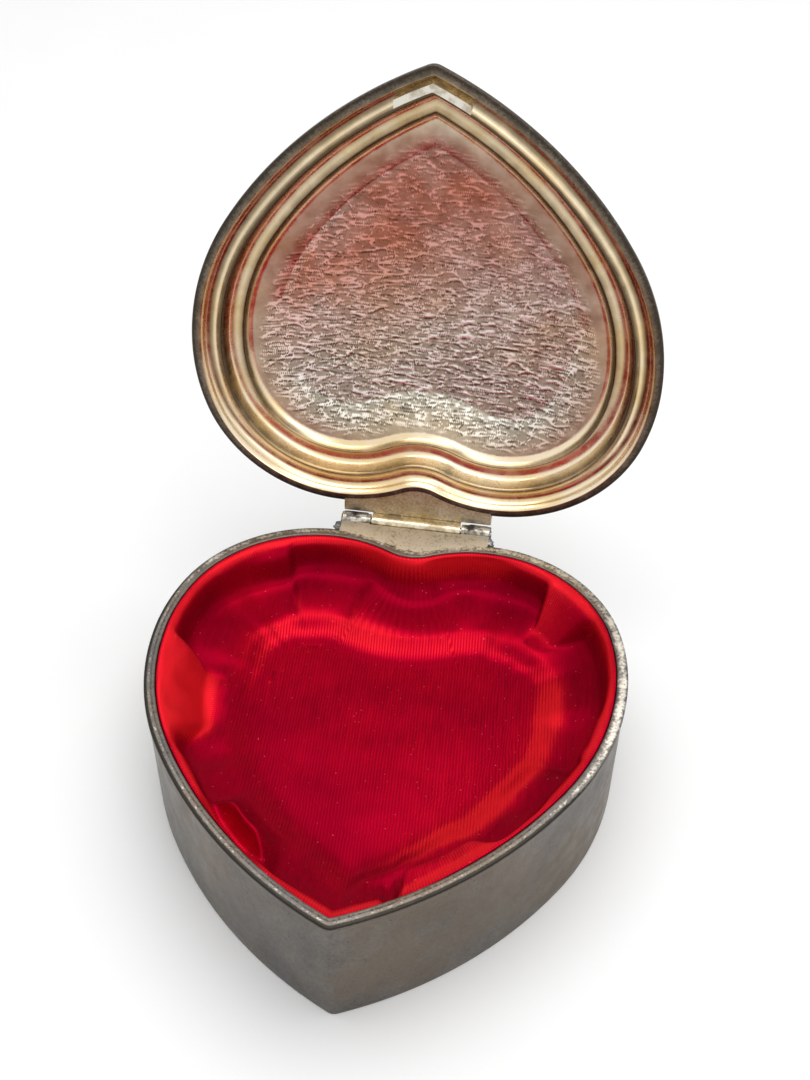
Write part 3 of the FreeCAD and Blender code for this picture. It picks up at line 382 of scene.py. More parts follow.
    @staticmethod
    def soften(piece: Piece, width: float, segments: int = 3) -> None:
        """Round the sharp edges of a piece.

        Args:
            piece: the piece.
            width: how far, in millimetres.
            segments: how many facets the rounding has.
        """
        weld = piece.modifiers.new("weld", "WELD")
        weld.merge_threshold = 0.002 * MM
        bevel = piece.modifiers.new("round_edges", "BEVEL")
        bevel.width = width * MM
        bevel.segments = segments
        bevel.limit_method = "ANGLE"
        bevel.angle_limit = math.radians(35)
        bevel.harden_normals = False
        even = piece.modifiers.new("even_shading", "WEIGHTED_NORMAL")
        even.keep_sharp = True

    @staticmethod
    def speckle(points: np.ndarray, size: tuple[float, ...], seed: float) -> np.ndarray:
        """Soft noise at points in the plane or in space, about -1 to 1.

        Args:
            points: the points, in millimetres.
            size: size of the grain along each axis, in millimetres.
            seed: which part of the noise is taken.

        Returns:
            The noise at each point.
        """
        scaled = np.zeros((len(points), 3))
        scaled[:, :len(size)] = np.asarray(points, float) / np.array(size)
        return np.array([noise.noise(Vector(point)) for point in scaled + seed])


class Bench:
    """Lays out the shader nodes of one material."""

    def __init__(self, name: str) -> None:
        """Start a material with a plain principled shader.

        Args:
            name: name of the material.
        """
        self.material = bpy.data.materials.new(name)
        self.material.use_nodes = True
        self.tree = self.material.node_tree
        self.shader = self.tree.nodes["Principled BSDF"]
        self.place = self.tree.nodes.new("ShaderNodeTexCoord").outputs["Object"]

    def node(self, kind: str, **settings: object) -> bpy.types.Node:
        """A new node with some of its properties set.

        Args:
            kind: its type.
            settings: the properties, by name.

        Returns:
            The node.
        """
        made = self.tree.nodes.new(kind)
        for name, value in settings.items():
            setattr(made, name, value)
        return made

    def feed(self, socket: bpy.types.NodeSocket, value: object) -> None:
        """Link a socket to another, or set its value.

        Args:
            socket: the socket that is fed.
            value: the other socket, or the value.
        """
        if isinstance(value, bpy.types.NodeSocket):
            self.tree.links.new(value, socket)
        elif isinstance(value, tuple) and len(value) == 3 and socket.type == "RGBA":
            socket.default_value = (*value, 1.0)
        else:
            socket.default_value = value

    def grain(self, scale: float, detail: float = 3.0, where: object = None, rough: float = 0.55) -> object:
        """Noise about one half.

        Args:
            scale: grains per metre.
            detail: octaves of finer grain.
            where: coordinates, or None for the object's own.
            rough: share of the finer grain.

        Returns:
            The socket that carries it.
        """
        made = self.node("ShaderNodeTexNoise")
        self.feed(made.inputs["Vector"], self.place if where is None else where)
        self.feed(made.inputs["Scale"], scale)
        self.feed(made.inputs["Detail"], detail)
        self.feed(made.inputs["Roughness"], rough)
        return made.outputs["Fac"]

    def stretched(self, scale: Triple) -> object:
        """The object's coordinates, scaled along each axis.

        Args:
            scale: the scale along each axis.

        Returns:
            The socket that carries them.
        """
        made = self.node("ShaderNodeMapping")
        self.feed(made.inputs["Vector"], self.place)
        self.feed(made.inputs["Scale"], scale)
        return made.outputs["Vector"]

    def sum(self, kind: str, first: object, second: object, third: object = None) -> object:
        """Arithmetic on two or three numbers.

        Args:
            kind: the operation.
            first: the first number or socket.
            second: the second one.
            third: the third one, if there is one.

        Returns:
            The socket that carries the result.
        """
        made = self.node("ShaderNodeMath", operation=kind)
        for index, value in enumerate((first, second, third)):
            if value is not None:
                self.feed(made.inputs[index], value)
        return made.outputs["Value"]

    def swing(self, value: object, width: float) -> object:
        """A number about one half turned into one about zero, stretched to a width."""
        return self.sum("MULTIPLY_ADD", value, width, -0.5 * width)

    def between(
        self, value: object, low: float, high: float, first: float = 0.0, last: float = 1.0,
    ) -> object:
        """A number carried smoothly from one range to another, kept inside it.

        Args:
            value: the number.
            low: start of its range.
            high: end of its range.
            first: start of the new range.
            last: end of the new range.

        Returns:
            The socket that carries it.
        """
        made = self.node("ShaderNodeMapRange", interpolation_type="SMOOTHSTEP")
        for name, number in (("Value", value), ("From Min", low), ("From Max", high),
                             ("To Min", first), ("To Max", last)):
            self.feed(made.inputs[name], number)
        return made.outputs["Result"]

    def blend(self, share: object, first: object, second: object, kind: str = "MIX") -> object:
        """A mix of two colours.

        Args:
            share: how much of the second colour.
            first: the first colour.
            second: the second colour.
            kind: how they are mixed.

        Returns:
            The socket that carries the mix.
        """
        made = self.node("ShaderNodeMix", data_type="RGBA", blend_type=kind)
        self.feed(made.inputs[0], share)
        self.feed(made.inputs[6], first)
        self.feed(made.inputs[7], second)
        return made.outputs[2]

    def ramp(self, value: object, stops: list[tuple[float, Triple]]) -> object:
        """A colour picked along a row of colours.

        Args:
            value: where along the row.
            stops: places and colours of the row.

        Returns:
            The socket that carries it.
        """
        made = self.node("ShaderNodeValToRGB")
        band = made.color_ramp
        while len(band.elements) < len(stops):
            band.elements.new(0.5)
        for element, (position, colour) in zip(band.elements, stops):
            element.position = position
            element.color = (*colour, 1.0)
        self.feed(made.inputs["Fac"], value)
        return made.outputs["Color"]

    def mark(self, name: str) -> object:
        """A number stored on the points of the piece."""
        return self.node("ShaderNodeAttribute", attribute_name=name).outputs["Fac"]

    def bump(self, height: object, strength: float, depth: float, under: object = None) -> object:
        """A bumped normal.

        Args:
            height: the height of the skin, from 0 to 1.
            strength: how much of it shows.
            depth: its depth in millimetres.
            under: another normal that it lies on, or None.

        Returns:
            The socket that carries it.
        """
        made = self.node("ShaderNodeBump")
        self.feed(made.inputs["Height"], height)
        made.inputs["Strength"].default_value = strength
        made.inputs["Distance"].default_value = depth * MM
        if under is not None:
            self.feed(made.inputs["Normal"], under)
        return made.outputs["Normal"]

    def set(self, **values: object) -> bpy.types.Material:
        """Set or link the shader's sockets.

        Args:
            values: by socket name, with underscores for spaces.

        Returns:
            The finished material.
        """
        for name, value in values.items():
            self.feed(self.shader.inputs[name.replace("_", " ")], value)
        return self.material


@dataclass(frozen=True)
class TarnishedPlate:
    """Old plated casting: dull and mottled, stained brown, worn pale where it is touched, with a painted
    highlight on its rim's crown and painted shade round it.
    """

    name: str
    dark: Triple = (0.098, 0.090, 0.084)
    middle: Triple = (0.150, 0.137, 0.124)
    light: Triple = (0.205, 0.185, 0.163)
    stain: Triple = (0.150, 0.112, 0.076)
    # Pale worn metal, also used as the painted highlight colour on the rim.
    worn_and_lit: Triple = (0.66, 0.61, 0.53)
    # Dark dirt, also used as the painted shade colour on the rim.
    grime_and_shade: Triple = (0.036, 0.031, 0.026)
    roughness: float = 0.44
    stained: float = 0.6

    def material(self) -> bpy.types.Material:
        """Lay out the finish.

        Returns:
            The material.
        """
        bench = Bench(self.name)
        patch = bench.grain(Grain.PATCH.value, 6.0)
        blotch = bench.grain(Grain.BLOTCH.value, 5.0)
        pit = bench.grain(Grain.PIT.value, 4.0, rough=0.65)
        dust = bench.grain(Grain.DUST.value, 2.0)
        tone = bench.sum("MULTIPLY_ADD", patch, 0.4, bench.sum("MULTIPLY", blotch, 0.3))
        tone = bench.sum("MULTIPLY_ADD", pit, 0.3, tone)
        skin = bench.ramp(tone, [(0.40, self.dark), (0.5, self.middle), (0.60, self.light)])
        spread = bench.grain(Grain.PATCH.value * 0.55, 7.0, rough=0.62)
        stains = bench.sum("MULTIPLY", bench.between(spread, 0.44, 0.62), self.stained)
        skin = bench.blend(stains, skin, self.stain)
        # This mark darkens the pits with dirt and also carries the painted shade on the rim top.
        grime_and_shade = bench.sum("ADD", bench.mark("grime_and_shade"), bench.swing(pit, 0.8))
        skin = bench.blend(bench.between(grime_and_shade, 0.3, 0.7), skin, self.grime_and_shade)
        # This mark pales worn metal and also carries the painted highlight on the rim's crown.
        wear_and_highlight = bench.sum("ADD", bench.mark("wear_and_highlight"), bench.swing(pit, 1.2))
        wear_and_highlight = bench.sum("ADD", wear_and_highlight, bench.swing(blotch, 0.8))
        worn = bench.between(wear_and_highlight, 0.34, 0.85)
        skin = bench.blend(worn, skin, self.worn_and_lit)
        specks = bench.between(bench.grain(Grain.PIT.value * 1.3, 2.0), 0.66, 0.72)
        skin = bench.blend(bench.sum("MULTIPLY", specks, 0.7), skin, self.grime_and_shade)
        rough = bench.between(bench.sum("SUBTRACT", blotch, bench.sum("MULTIPLY", worn, 0.25)), 0.2, 0.8,
                              self.roughness - 0.12, self.roughness + 0.14)
        normal = bench.bump(dust, 0.12, 0.05, bench.bump(pit, 0.22, 0.12))
        return bench.set(Base_Color=skin, Metallic=1.0, Roughness=rough, Normal=normal)


@dataclass(frozen=True)
class DishPlate:
    """Bare plated inside of a lid: painted glints where it is raised and painted shade in its hollows, golden
    and warm, with a painted red reflection of the lining.
    """

    name: str
    # The dark and bright colours are painted shade and painted glints; the middle one is the metal's own
    # tone.
    painted_shade: Triple = (0.13, 0.112, 0.088)
    plain: Triple = (0.53, 0.475, 0.38)
    painted_glint: Triple = (0.98, 0.96, 0.90)
    gold: Triple = (0.86, 0.68, 0.42)
    # Tint of the painted red reflection of the lining.
    red_reflection_tint: Triple = (0.86, 0.38, 0.31)
    tarnish: Triple = (0.050, 0.040, 0.031)

    def material(self) -> bpy.types.Material:
        """Lay out the finish.

        Returns:
            The material.
        """
        bench = Bench(self.name)
        patch = bench.grain(Grain.PATCH.value, 5.0)
        blotch = bench.grain(Grain.BLOTCH.value, 4.0)
        pit = bench.grain(Grain.PIT.value * 1.4, 4.0, rough=0.65)
        # Painted light: glints and shade on the ripples and moulding lines, with some random tone.
        polish_and_painted_light = bench.sum("MULTIPLY_ADD", bench.sum("SUBTRACT", blotch, 0.5), 0.35, bench.mark("polish_and_painted_light"))
        skin = bench.ramp(polish_and_painted_light, [(0.2, self.painted_shade), (0.5, self.plain), (0.8, self.painted_glint)])
        warm = bench.sum("ADD", bench.between(patch, 0.42, 0.70, 0.0, 0.5), bench.mark("gild"))
        warm = bench.sum("MINIMUM", warm, 1.0)
        skin = bench.blend(warm, skin, bench.blend(1.0, skin, self.gold, "MULTIPLY"))
        # A painted red reflection of the lining tints the metal towards red.
        painted_red_reflection = bench.sum("MULTIPLY", bench.mark("painted_red_reflection"), bench.between(patch, 0.25, 0.6, 0.45, 0.95))
        skin = bench.blend(painted_red_reflection, skin, bench.blend(1.0, skin, self.red_reflection_tint, "MULTIPLY"))
        age = bench.sum("MULTIPLY_ADD", bench.sum("SUBTRACT", pit, 0.5), 0.6, bench.mark("tarnish"))
        skin = bench.blend(bench.between(age, 0.1, 0.55), skin, self.tarnish)
        dull = bench.sum("ADD", bench.mark("tarnish"), bench.sum("MULTIPLY", bench.mark("matt"), 0.7))
        rough = bench.between(bench.sum("ADD", blotch, dull), 0.2, 1.4, 0.15, 0.5)
        normal = bench.bump(pit, 0.1, 0.05)
        return bench.set(Base_Color=skin, Metallic=1.0, Roughness=rough, Normal=normal)


@dataclass(frozen=True)
class TurnedMetal:
    """Machined metal of the hinge, screws and movement, with fine tool lines and some dulling."""

    name: str
    bright: Triple
    dull: Triple
    roughness: float = 0.28
    lines: Triple = (400.0, 2600.0, 2600.0)

    def material(self) -> bpy.types.Material:
        """Lay out the finish.

        Returns:
            The material.
        """
        bench = Bench(self.name)
        blotch = bench.grain(Grain.BLOTCH.value * 1.6, 5.0)
        tool = bench.grain(1.0, 2.0, bench.stretched(self.lines))
        pit = bench.grain(Grain.PIT.value, 3.0)
        skin = bench.blend(bench.between(blotch, 0.42, 0.62), self.bright, self.dull)
        skin = bench.blend(bench.sum("MULTIPLY", bench.between(pit, 0.62, 0.7), 0.6), skin, self.dull)
        rough = bench.between(blotch, 0.3, 0.7, self.roughness - 0.06, self.roughness + 0.14)
        normal = bench.bump(tool, 0.12, 0.03, bench.bump(pit, 0.12, 0.05))
        return bench.set(Base_Color=skin, Metallic=1.0, Roughness=rough, Normal=normal)


@dataclass(frozen=True)
class DullSkin:
    """A plain non-metal skin: board, paint or moulded plastic, with fibre or grain."""

    name: str
    light: Triple
    dark: Triple
    roughness: float = 0.6
    grain: Triple = (900.0, 900.0, 900.0)

    def material(self) -> bpy.types.Material:
        """Lay out the finish.

        Returns:
            The material.
        """
        bench = Bench(self.name)
        fibre = bench.grain(1.0, 4.0, bench.stretched(self.grain), 0.6)
        blotch = bench.grain(Grain.BLOTCH.value, 4.0)
        skin = bench.blend(bench.between(fibre, 0.3, 0.7), self.dark, self.light)
        rough = bench.between(blotch, 0.3, 0.7, self.roughness - 0.1, self.roughness + 0.1)
        return bench.set(Base_Color=skin, Roughness=rough, Normal=bench.bump(fibre, 0.2, 0.06))


@dataclass(frozen=True)
class Satin:
    """Glossy red satin: coloured shine, ribbed by its threads, with a few specks of lint, and a painted sheen
    that lightens its colour on its slopes, rolled edge and folds.
    """

    name: str
    deep: Triple = (0.185, 0.0002, 0.0105)
    middle: Triple = (0.360, 0.0012, 0.0140)
    # Painted highlight colour, reached where the painted sheen is strong.
    lit: Triple = (0.680, 0.0120, 0.0210)
    lint: Triple = (0.55, 0.06, 0.06)
    thread: float = 0.64

    def ribs(self, bench: Bench, across: object, waver: object) -> object:
        """The threads as ridges.

        Args:
            bench: where the nodes are laid out.
            across: socket that carries the place across the threads, in millimetres.
            waver: noise that makes them uneven.

        Returns:
            The socket that carries the height, from 0 to 1.
        """
        turn = bench.sum("MULTIPLY_ADD", across, 2 * math.pi / self.thread, bench.sum("MULTIPLY", waver, 3.0))
        return bench.sum("MULTIPLY_ADD", bench.sum("SINE", turn, 0.0), 0.5, 0.5)

    def material(self) -> bpy.types.Material:
        """Lay out the finish.

        Returns:
            The material.
        """
        bench = Bench(self.name)
        waver = bench.grain(Grain.BLOTCH.value, 3.0)
        flow = bench.grain(1.0, 3.0, bench.stretched((1500.0, 160.0, 1500.0)))
        floor = self.ribs(bench, bench.mark("across"), waver)
        wall = self.ribs(bench, bench.mark("along"), waver)
        mixed = bench.node("ShaderNodeMix", data_type="FLOAT")
        bench.feed(mixed.inputs[0], bench.mark("upright"))
        bench.feed(mixed.inputs[2], floor)
        bench.feed(mixed.inputs[3], bench.sum("MULTIPLY_ADD", wall, 0.45, 0.27))
        ribs = mixed.outputs[0]
        patch = bench.grain(Grain.PATCH.value, 4.0)
        painted_sheen = bench.mark("painted_sheen")
        # Painted sheen: this mark lightens the cloth's colour towards the painted highlight colour.
        tone = bench.sum("MULTIPLY_ADD", ribs, bench.sum("MULTIPLY_ADD", painted_sheen, 0.6, 0.24), painted_sheen)
        tone = bench.sum("ADD", tone, bench.swing(flow, 0.3))
        tone = bench.sum("ADD", tone, bench.swing(patch, 0.5))
        colour = bench.ramp(tone, [(0.0, self.deep), (0.5, self.middle), (1.0, self.lit)])
        specks = bench.between(bench.grain(Grain.PIT.value * 1.7, 0.0, rough=0.2), 0.83, 0.86)
        colour = bench.blend(specks, colour, self.lint)
        normal = bench.bump(flow, 0.1, 0.08, bench.bump(ribs, 0.22, 0.06))
        rough = bench.between(flow, 0.3, 0.7, 0.33, 0.43)
        return bench.set(
            Base_Color=colour, Metallic=0.5, Roughness=rough, Normal=normal, Specular_IOR_Level=0.0,
            Sheen_Weight=0.02, Sheen_Roughness=0.35, Sheen_Tint=(1.0, 0.02, 0.03),
        )


OUTSIDE_LOOK = {"polish_and_painted_light": 0.25, "tarnish": 0.3, "painted_red_reflection": 0.0, "gild": 0.2, "matt": 0.6}
LUG_LOOK = {"polish_and_painted_light": 0.55, "tarnish": 0.22, "painted_red_reflection": 0.0, "gild": 0.35, "matt": 0.5}
# Place, width and change of the painted light lines on the mouldings: bright lines are painted highlights,
# dark ones painted shade.
MOULDING_LINES = (
    (11.4, 0.50, 0.30), (10.3, 0.45, -0.38), (8.7, 0.55, 0.16), (7.3, 0.35, 0.38), (6.0, 0.70, -0.40),
    (4.6, 0.35, 0.36), (3.5, 0.50, -0.20), (2.4, 0.40, 0.40),
)


@dataclass
class LidCasting:
    """The open lid: stepped mouldings round a hammered, domed dish, and a plain stepped back."""

    outline: HeartOutline
    finish: DishPlate
    rim: float = 31.8
    overhang: float = 0.6
    step: float = 0.75
    inside: tuple[Pair, ...] = (
        (11.8, 6.85), (10.9, 6.3), (10.2, 5.05), (9.4, 5.3), (7.8, 5.3), (7.0, 4.8), (6.2, 2.0), (5.5, 2.0),
        (4.7, 2.5), (2.7, 2.5), (1.9, 0.05),
    )
    outside: tuple[Pair, ...] = (
        (1.7, 0.0), (0.2, 0.0), (0.0, 0.2), (0.0, 1.5), (1.9, 3.7), (4.7, 4.3), (6.2, 4.6), (7.0, 6.5),
        (10.2, 7.4), (11.8, 8.7), (15.0, 9.3),
    )
    bowl_edge: float = 0.35
    bowl_rise: float = 4.7
    bowl_middle: float = 5.0
    bowl_radius: float = 42.0
    cove: float = 8.6
    cove_narrows: float = 3.2
    cove_bend: float = 0.2
    dish_pitch: Pair = (0.42, 0.2)
    back_pitch: Pair = (1.6, 1.6)
    ripple_height: float = 0.05
    lift_from: Pair = (-14.0, 22.0)
    least_lift: float = 0.12
    crease_pitch: float = 0.82
    crease_length: float = 4.6
    crease_shadow: float = 0.33
    land_half: float = 17.0
    land_back: float = 53.892
    land_height: float = 4.2
    land_round: float = 0.25

    def opened(self, points: np.ndarray) -> np.ndarray:
        """Points of the shut lid, swung open about the hinge."""
        turn = np.array(Matrix.Rotation(-OPEN_ANGLE, 3, "X"))
        return (points - np.array(HINGE)) @ turn.T + np.array(HINGE)

    def cove_at(self, plan: np.ndarray) -> np.ndarray:
        """How wide the dish's cove is at each place: narrow towards the tip, wide at the hinge."""
        return self.cove - self.cove_narrows * Meshes.fade(plan[:, 1], 18.0, 6.0)

    def dome(self, plan: np.ndarray, margin: np.ndarray) -> np.ndarray:
        """How far the dish rises at places inside its edge: a shallow bowl with a cove round it.

        Args:
            plan: the places.
            margin: how far each place is inside the edge.

        Returns:
            The rise at each place.
        """
        away = np.hypot(plan[:, 0], plan[:, 1] - self.bowl_middle) / self.bowl_radius
        share = np.clip(margin / self.cove_at(plan), 0.0, 1.0)
        bend = 1.0 + self.cove_bend - self.cove_bend * share
        return share * bend * (self.bowl_edge + self.bowl_rise * (1.0 - away**2))

    def creases(self, plan: np.ndarray) -> np.ndarray:
        """Thin meandering lines, mostly across the lid.

        Args:
            plan: the places.

        Returns:
            How near each place is to such a line, from 0 to 1.
        """
        long_ones = Meshes.speckle(plan, (self.crease_length, self.crease_pitch), 3.7)
        short_ones = Meshes.speckle(plan, (0.4 * self.crease_length, 0.8 * self.crease_pitch), 11.3)
        return np.maximum(np.exp(-((long_ones / 0.09) ** 2)), 0.5 * np.exp(-((short_ones / 0.07) ** 2)))

    def ripples(self, plan: np.ndarray, margin: np.ndarray) -> tuple[np.ndarray, np.ndarray]:
        """The hammered skin of the dish: raised creases that carry painted glints, each with a painted shadow
        line below it.

        Args:
            plan: the places.
            margin: how far each is inside the dish's edge.

        Returns:
            Ridge and furrow at each place, from 0 to 1.
        """
        broken = np.clip(0.7 + 1.7 * Meshes.speckle(plan, (1.9, 0.9), 23.1), 0.06, 1.0)
        smooth_margin = 2.4 - 1.8 * Meshes.fade(plan[:, 1], 4.0, 18.0)
        ramp = Meshes.fade(margin - smooth_margin, 0.0, 2.6)
        strength = broken * ramp * np.clip(0.85 + plan[:, 1] / 40.0, 0.4, 1.0)
        ridge = self.creases(plan)
        furrow = self.creases(plan - np.array([0.0, self.crease_shadow])) * (1.0 - ridge)
        return ridge * strength, furrow * strength

    def dish_look(self, dish: np.ndarray, margin: np.ndarray, ridge: np.ndarray, furrow: np.ndarray) -> dict:
        """How the dish looks: painted glints on its ridges and painted shadow in the furrows under them, a
        painted highlight near its edge, golden at its margin, and a painted red reflection of the lining
        towards the tip and left.

        Args:
            dish: places in the dish.
            margin: how far each is inside its edge.
            ridge: the ridges there.
            furrow: the furrows there.

        Returns:
            The marks of its finish, by name.
        """
        nearness = margin / (0.7 * self.cove_at(dish))
        polish_and_painted_light = np.clip(0.47 + 1.4 * ridge - 0.8 * furrow, 0.0, 1.0)
        # A painted highlight near the edge, and slightly darker towards the hinge.
        polish_and_painted_light += 0.1 * Meshes.fade(margin, 5.0, 0.0) - 0.05 * Meshes.fade(dish[:, 1], 8.0, 20.0)
        toward_tip = Meshes.fade(dish[:, 1] + 0.45 * dish[:, 0], 12.0, -14.0)
        # Painted red reflection of the lining: the dish is tinted red towards the tip and the left.
        painted_red_reflection = 0.95 * toward_tip * Meshes.fade(margin, 1.5, 7.5)
        return {
            "polish_and_painted_light": polish_and_painted_light,
            "tarnish": np.zeros(len(dish)),
            "painted_red_reflection": painted_red_reflection,
            "gild": 0.35 * np.clip(1.3 - nearness, 0.0, 1.0),
            "matt": np.maximum(np.clip(1.8 - nearness, 0.2, 1.0), 0.6 * painted_red_reflection),
        }

    def moulding_look(self, profile: np.ndarray, inner: int, body: np.ndarray) -> dict:
        """How the mouldings and the rim look: golden inside with painted highlight and shade lines, brighter
        towards the hinge, dull outside.

        Args:
            profile: the profile of the lid's rings.
            inner: how many of the rings are inside.
            body: the points of all the rings.

        Returns:
            The marks of their finish, by name.
        """
        number = len(body) // len(profile)
        inside = np.repeat(np.arange(len(profile)) < inner, number)
        # Painted highlight: the moulding lines are brighter towards the hinge.
        near_hinge = Meshes.fade(body[:, 1], 22.0, 40.0)
        painted_lines = np.repeat(self.lines(profile[:, 0]), number) + 0.3 * near_hinge
        return {
            "polish_and_painted_light": np.where(inside, painted_lines, OUTSIDE_LOOK["polish_and_painted_light"]),
            "tarnish": np.repeat(self.ageing(profile, inner), number),
            "painted_red_reflection": np.zeros(len(body)),
            "gild": np.where(inside, 0.7, OUTSIDE_LOOK["gild"]),
            "matt": np.full(len(body), 0.15),
        }

    def build(self) -> Piece:
        """Build the lid's casting as one closed mesh.

        Returns:
            The casting.
        """
        inner = Meshes.smooth_profile(self.inside, 2)
        outer = Meshes.smooth_profile(self.outside, 2)
        profile = np.concatenate([inner, outer])
        rings = self.outline.rings(profile + (-self.overhang, self.rim), self.step)
        number = rings.shape[1]
        body = rings.reshape(-1, 3)
        faces = Meshes.skin(len(rings), number)

        edge = rings[0, :, :2]
        dish, dish_faces = Meshes.fill(edge, self.dish_pitch)
        margin = Meshes.depth_inside(dish, edge)
        ridge, furrow = self.ripples(dish, margin)
        rise = self.rim + profile[0, 1] + self.dome(dish, margin)
        lift = np.maximum(Meshes.fade(dish[:, 1], *self.lift_from), self.least_lift)
        rise += self.ripple_height * lift * (0.5 * furrow - ridge)
        first_dish = len(body)
        faces += Meshes.renumber(dish_faces, number, 0, first_dish)

        back_ring = rings[-1, :, :2]
        back, back_faces = Meshes.fill(back_ring, self.back_pitch)
        back_rise = self.rim + profile[-1, 1] + self.dome(back, Meshes.depth_inside(back, back_ring))
        first_back = first_dish + len(dish)
        last_ring = (len(rings) - 1) * number
        faces += Meshes.renumber(back_faces, number, last_ring, first_back)

        points = np.concatenate([
            body, np.column_stack([dish, rise]), np.column_stack([back, back_rise]),
        ])
        piece = Meshes.add("lid_casting", self.opened(points), faces)
        mouldings = self.moulding_look(profile, len(inner), body)
        panel = self.dish_look(dish, margin, ridge, furrow)
        for name, plain in OUTSIDE_LOOK.items():
            values = np.concatenate([mouldings[name], panel[name], np.full(len(back), plain)])
            Meshes.mark(piece, **{name: values})
        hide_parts("lid_shell")
        return piece

    @staticmethod
    def lines(edge: np.ndarray) -> np.ndarray:
        """How bright each ring of the mouldings is: a painted highlight on its edges, painted shade in its
        grooves.

        Args:
            edge: how far inside the lid's edge each ring is.

        Returns:
            The painted light level of each ring, from 0 to 1.
        """
        tone = np.full(len(edge), 0.47)
        for place, width, change in MOULDING_LINES:
            tone += change * np.exp(-(((edge - place) / width) ** 2))
        return np.clip(tone, 0.0, 1.0)

    @staticmethod
    def ageing(profile: np.ndarray, inner: int) -> np.ndarray:
        """How tarnished each ring of the lid is: most at its lip, little inside.

        Args:
            profile: the profile of the lid's rings.
            inner: how many of the rings are inside.

        Returns:
            The tarnish of each ring.
        """
        edge = profile[:, 0]
        lip = np.clip(1.0 - np.abs(edge - 0.4) / 1.1, 0.0, 1.0)
        inside = np.arange(len(profile)) < inner
        return np.where(inside, 0.05 + 0.5 * lip, 0.20 + 0.34 * lip)

    def land(self) -> Piece:
        """Build the lid's hinge lug, which fills the notch between the lobes.

        Returns:
            The lug.
        """
        plan = Land.outline(self.outline, -self.overhang, self.land_half, self.land_back, 0.0)
        piece = Meshes.prism("lid_land", plan, self.rim, self.rim + self.land_height, self.land_round)
        places = np.array([vertex.co for vertex in piece.data.vertices]) / MM
        outside = places[:, 2] > self.rim + 0.5 * self.land_height
        for vertex, place in zip(piece.data.vertices, self.opened(places)):
            vertex.co = Vector(place * MM)
        for name, plain in OUTSIDE_LOOK.items():
            Meshes.mark(piece, **{name: np.where(outside, plain, LUG_LOOK[name])})
        return piece

    def make(self) -> list[Piece]:
        """Build and dress the lid.

        Returns:
            Its pieces.
        """
        pieces = [self.build(), self.land()]
        material = self.finish.material()
        for piece in pieces:
            piece.data.materials.append(material)
            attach(piece, "lid")
        return pieces


class Land:
    """The flat lug between the two lobes, shared by base and lid."""

    overlap: float = 0.8
    recess_half: float = 10.5
    spacing: float = 0.6

    @staticmethod
    def outline(heart: HeartOutline, inset: float, half: float, back: float, recess: float) -> np.ndarray:
        """The lug's plan.

        Args:
            heart: the box's outline.
            inset: how far inside the outline the lug starts.
            half: half its width.
            back: its back edge.
            recess: how deep the back is cut for the middle knuckle.

        Returns:
            The plan's corners in order.
        """
        ring = heart.ring(inset + Land.overlap, Land.spacing)
        behind = ring[(np.abs(ring[:, 0]) < half) & (ring[:, 1] > 0.0)]
        behind = behind[np.argsort(behind[:, 0])]
        cut = Land.recess_half
        right = [(half, back), (cut, back), (cut, back - recess)]
        rear = right + [(-x, y) for x, y in reversed(right)]
        if recess == 0.0:
            rear = [(half, back), (-half, back)]
        ends = [(-half, behind[0, 1]), (half, behind[-1, 1])]
        return np.array([ends[0]] + behind.tolist() + [ends[1]] + rear)


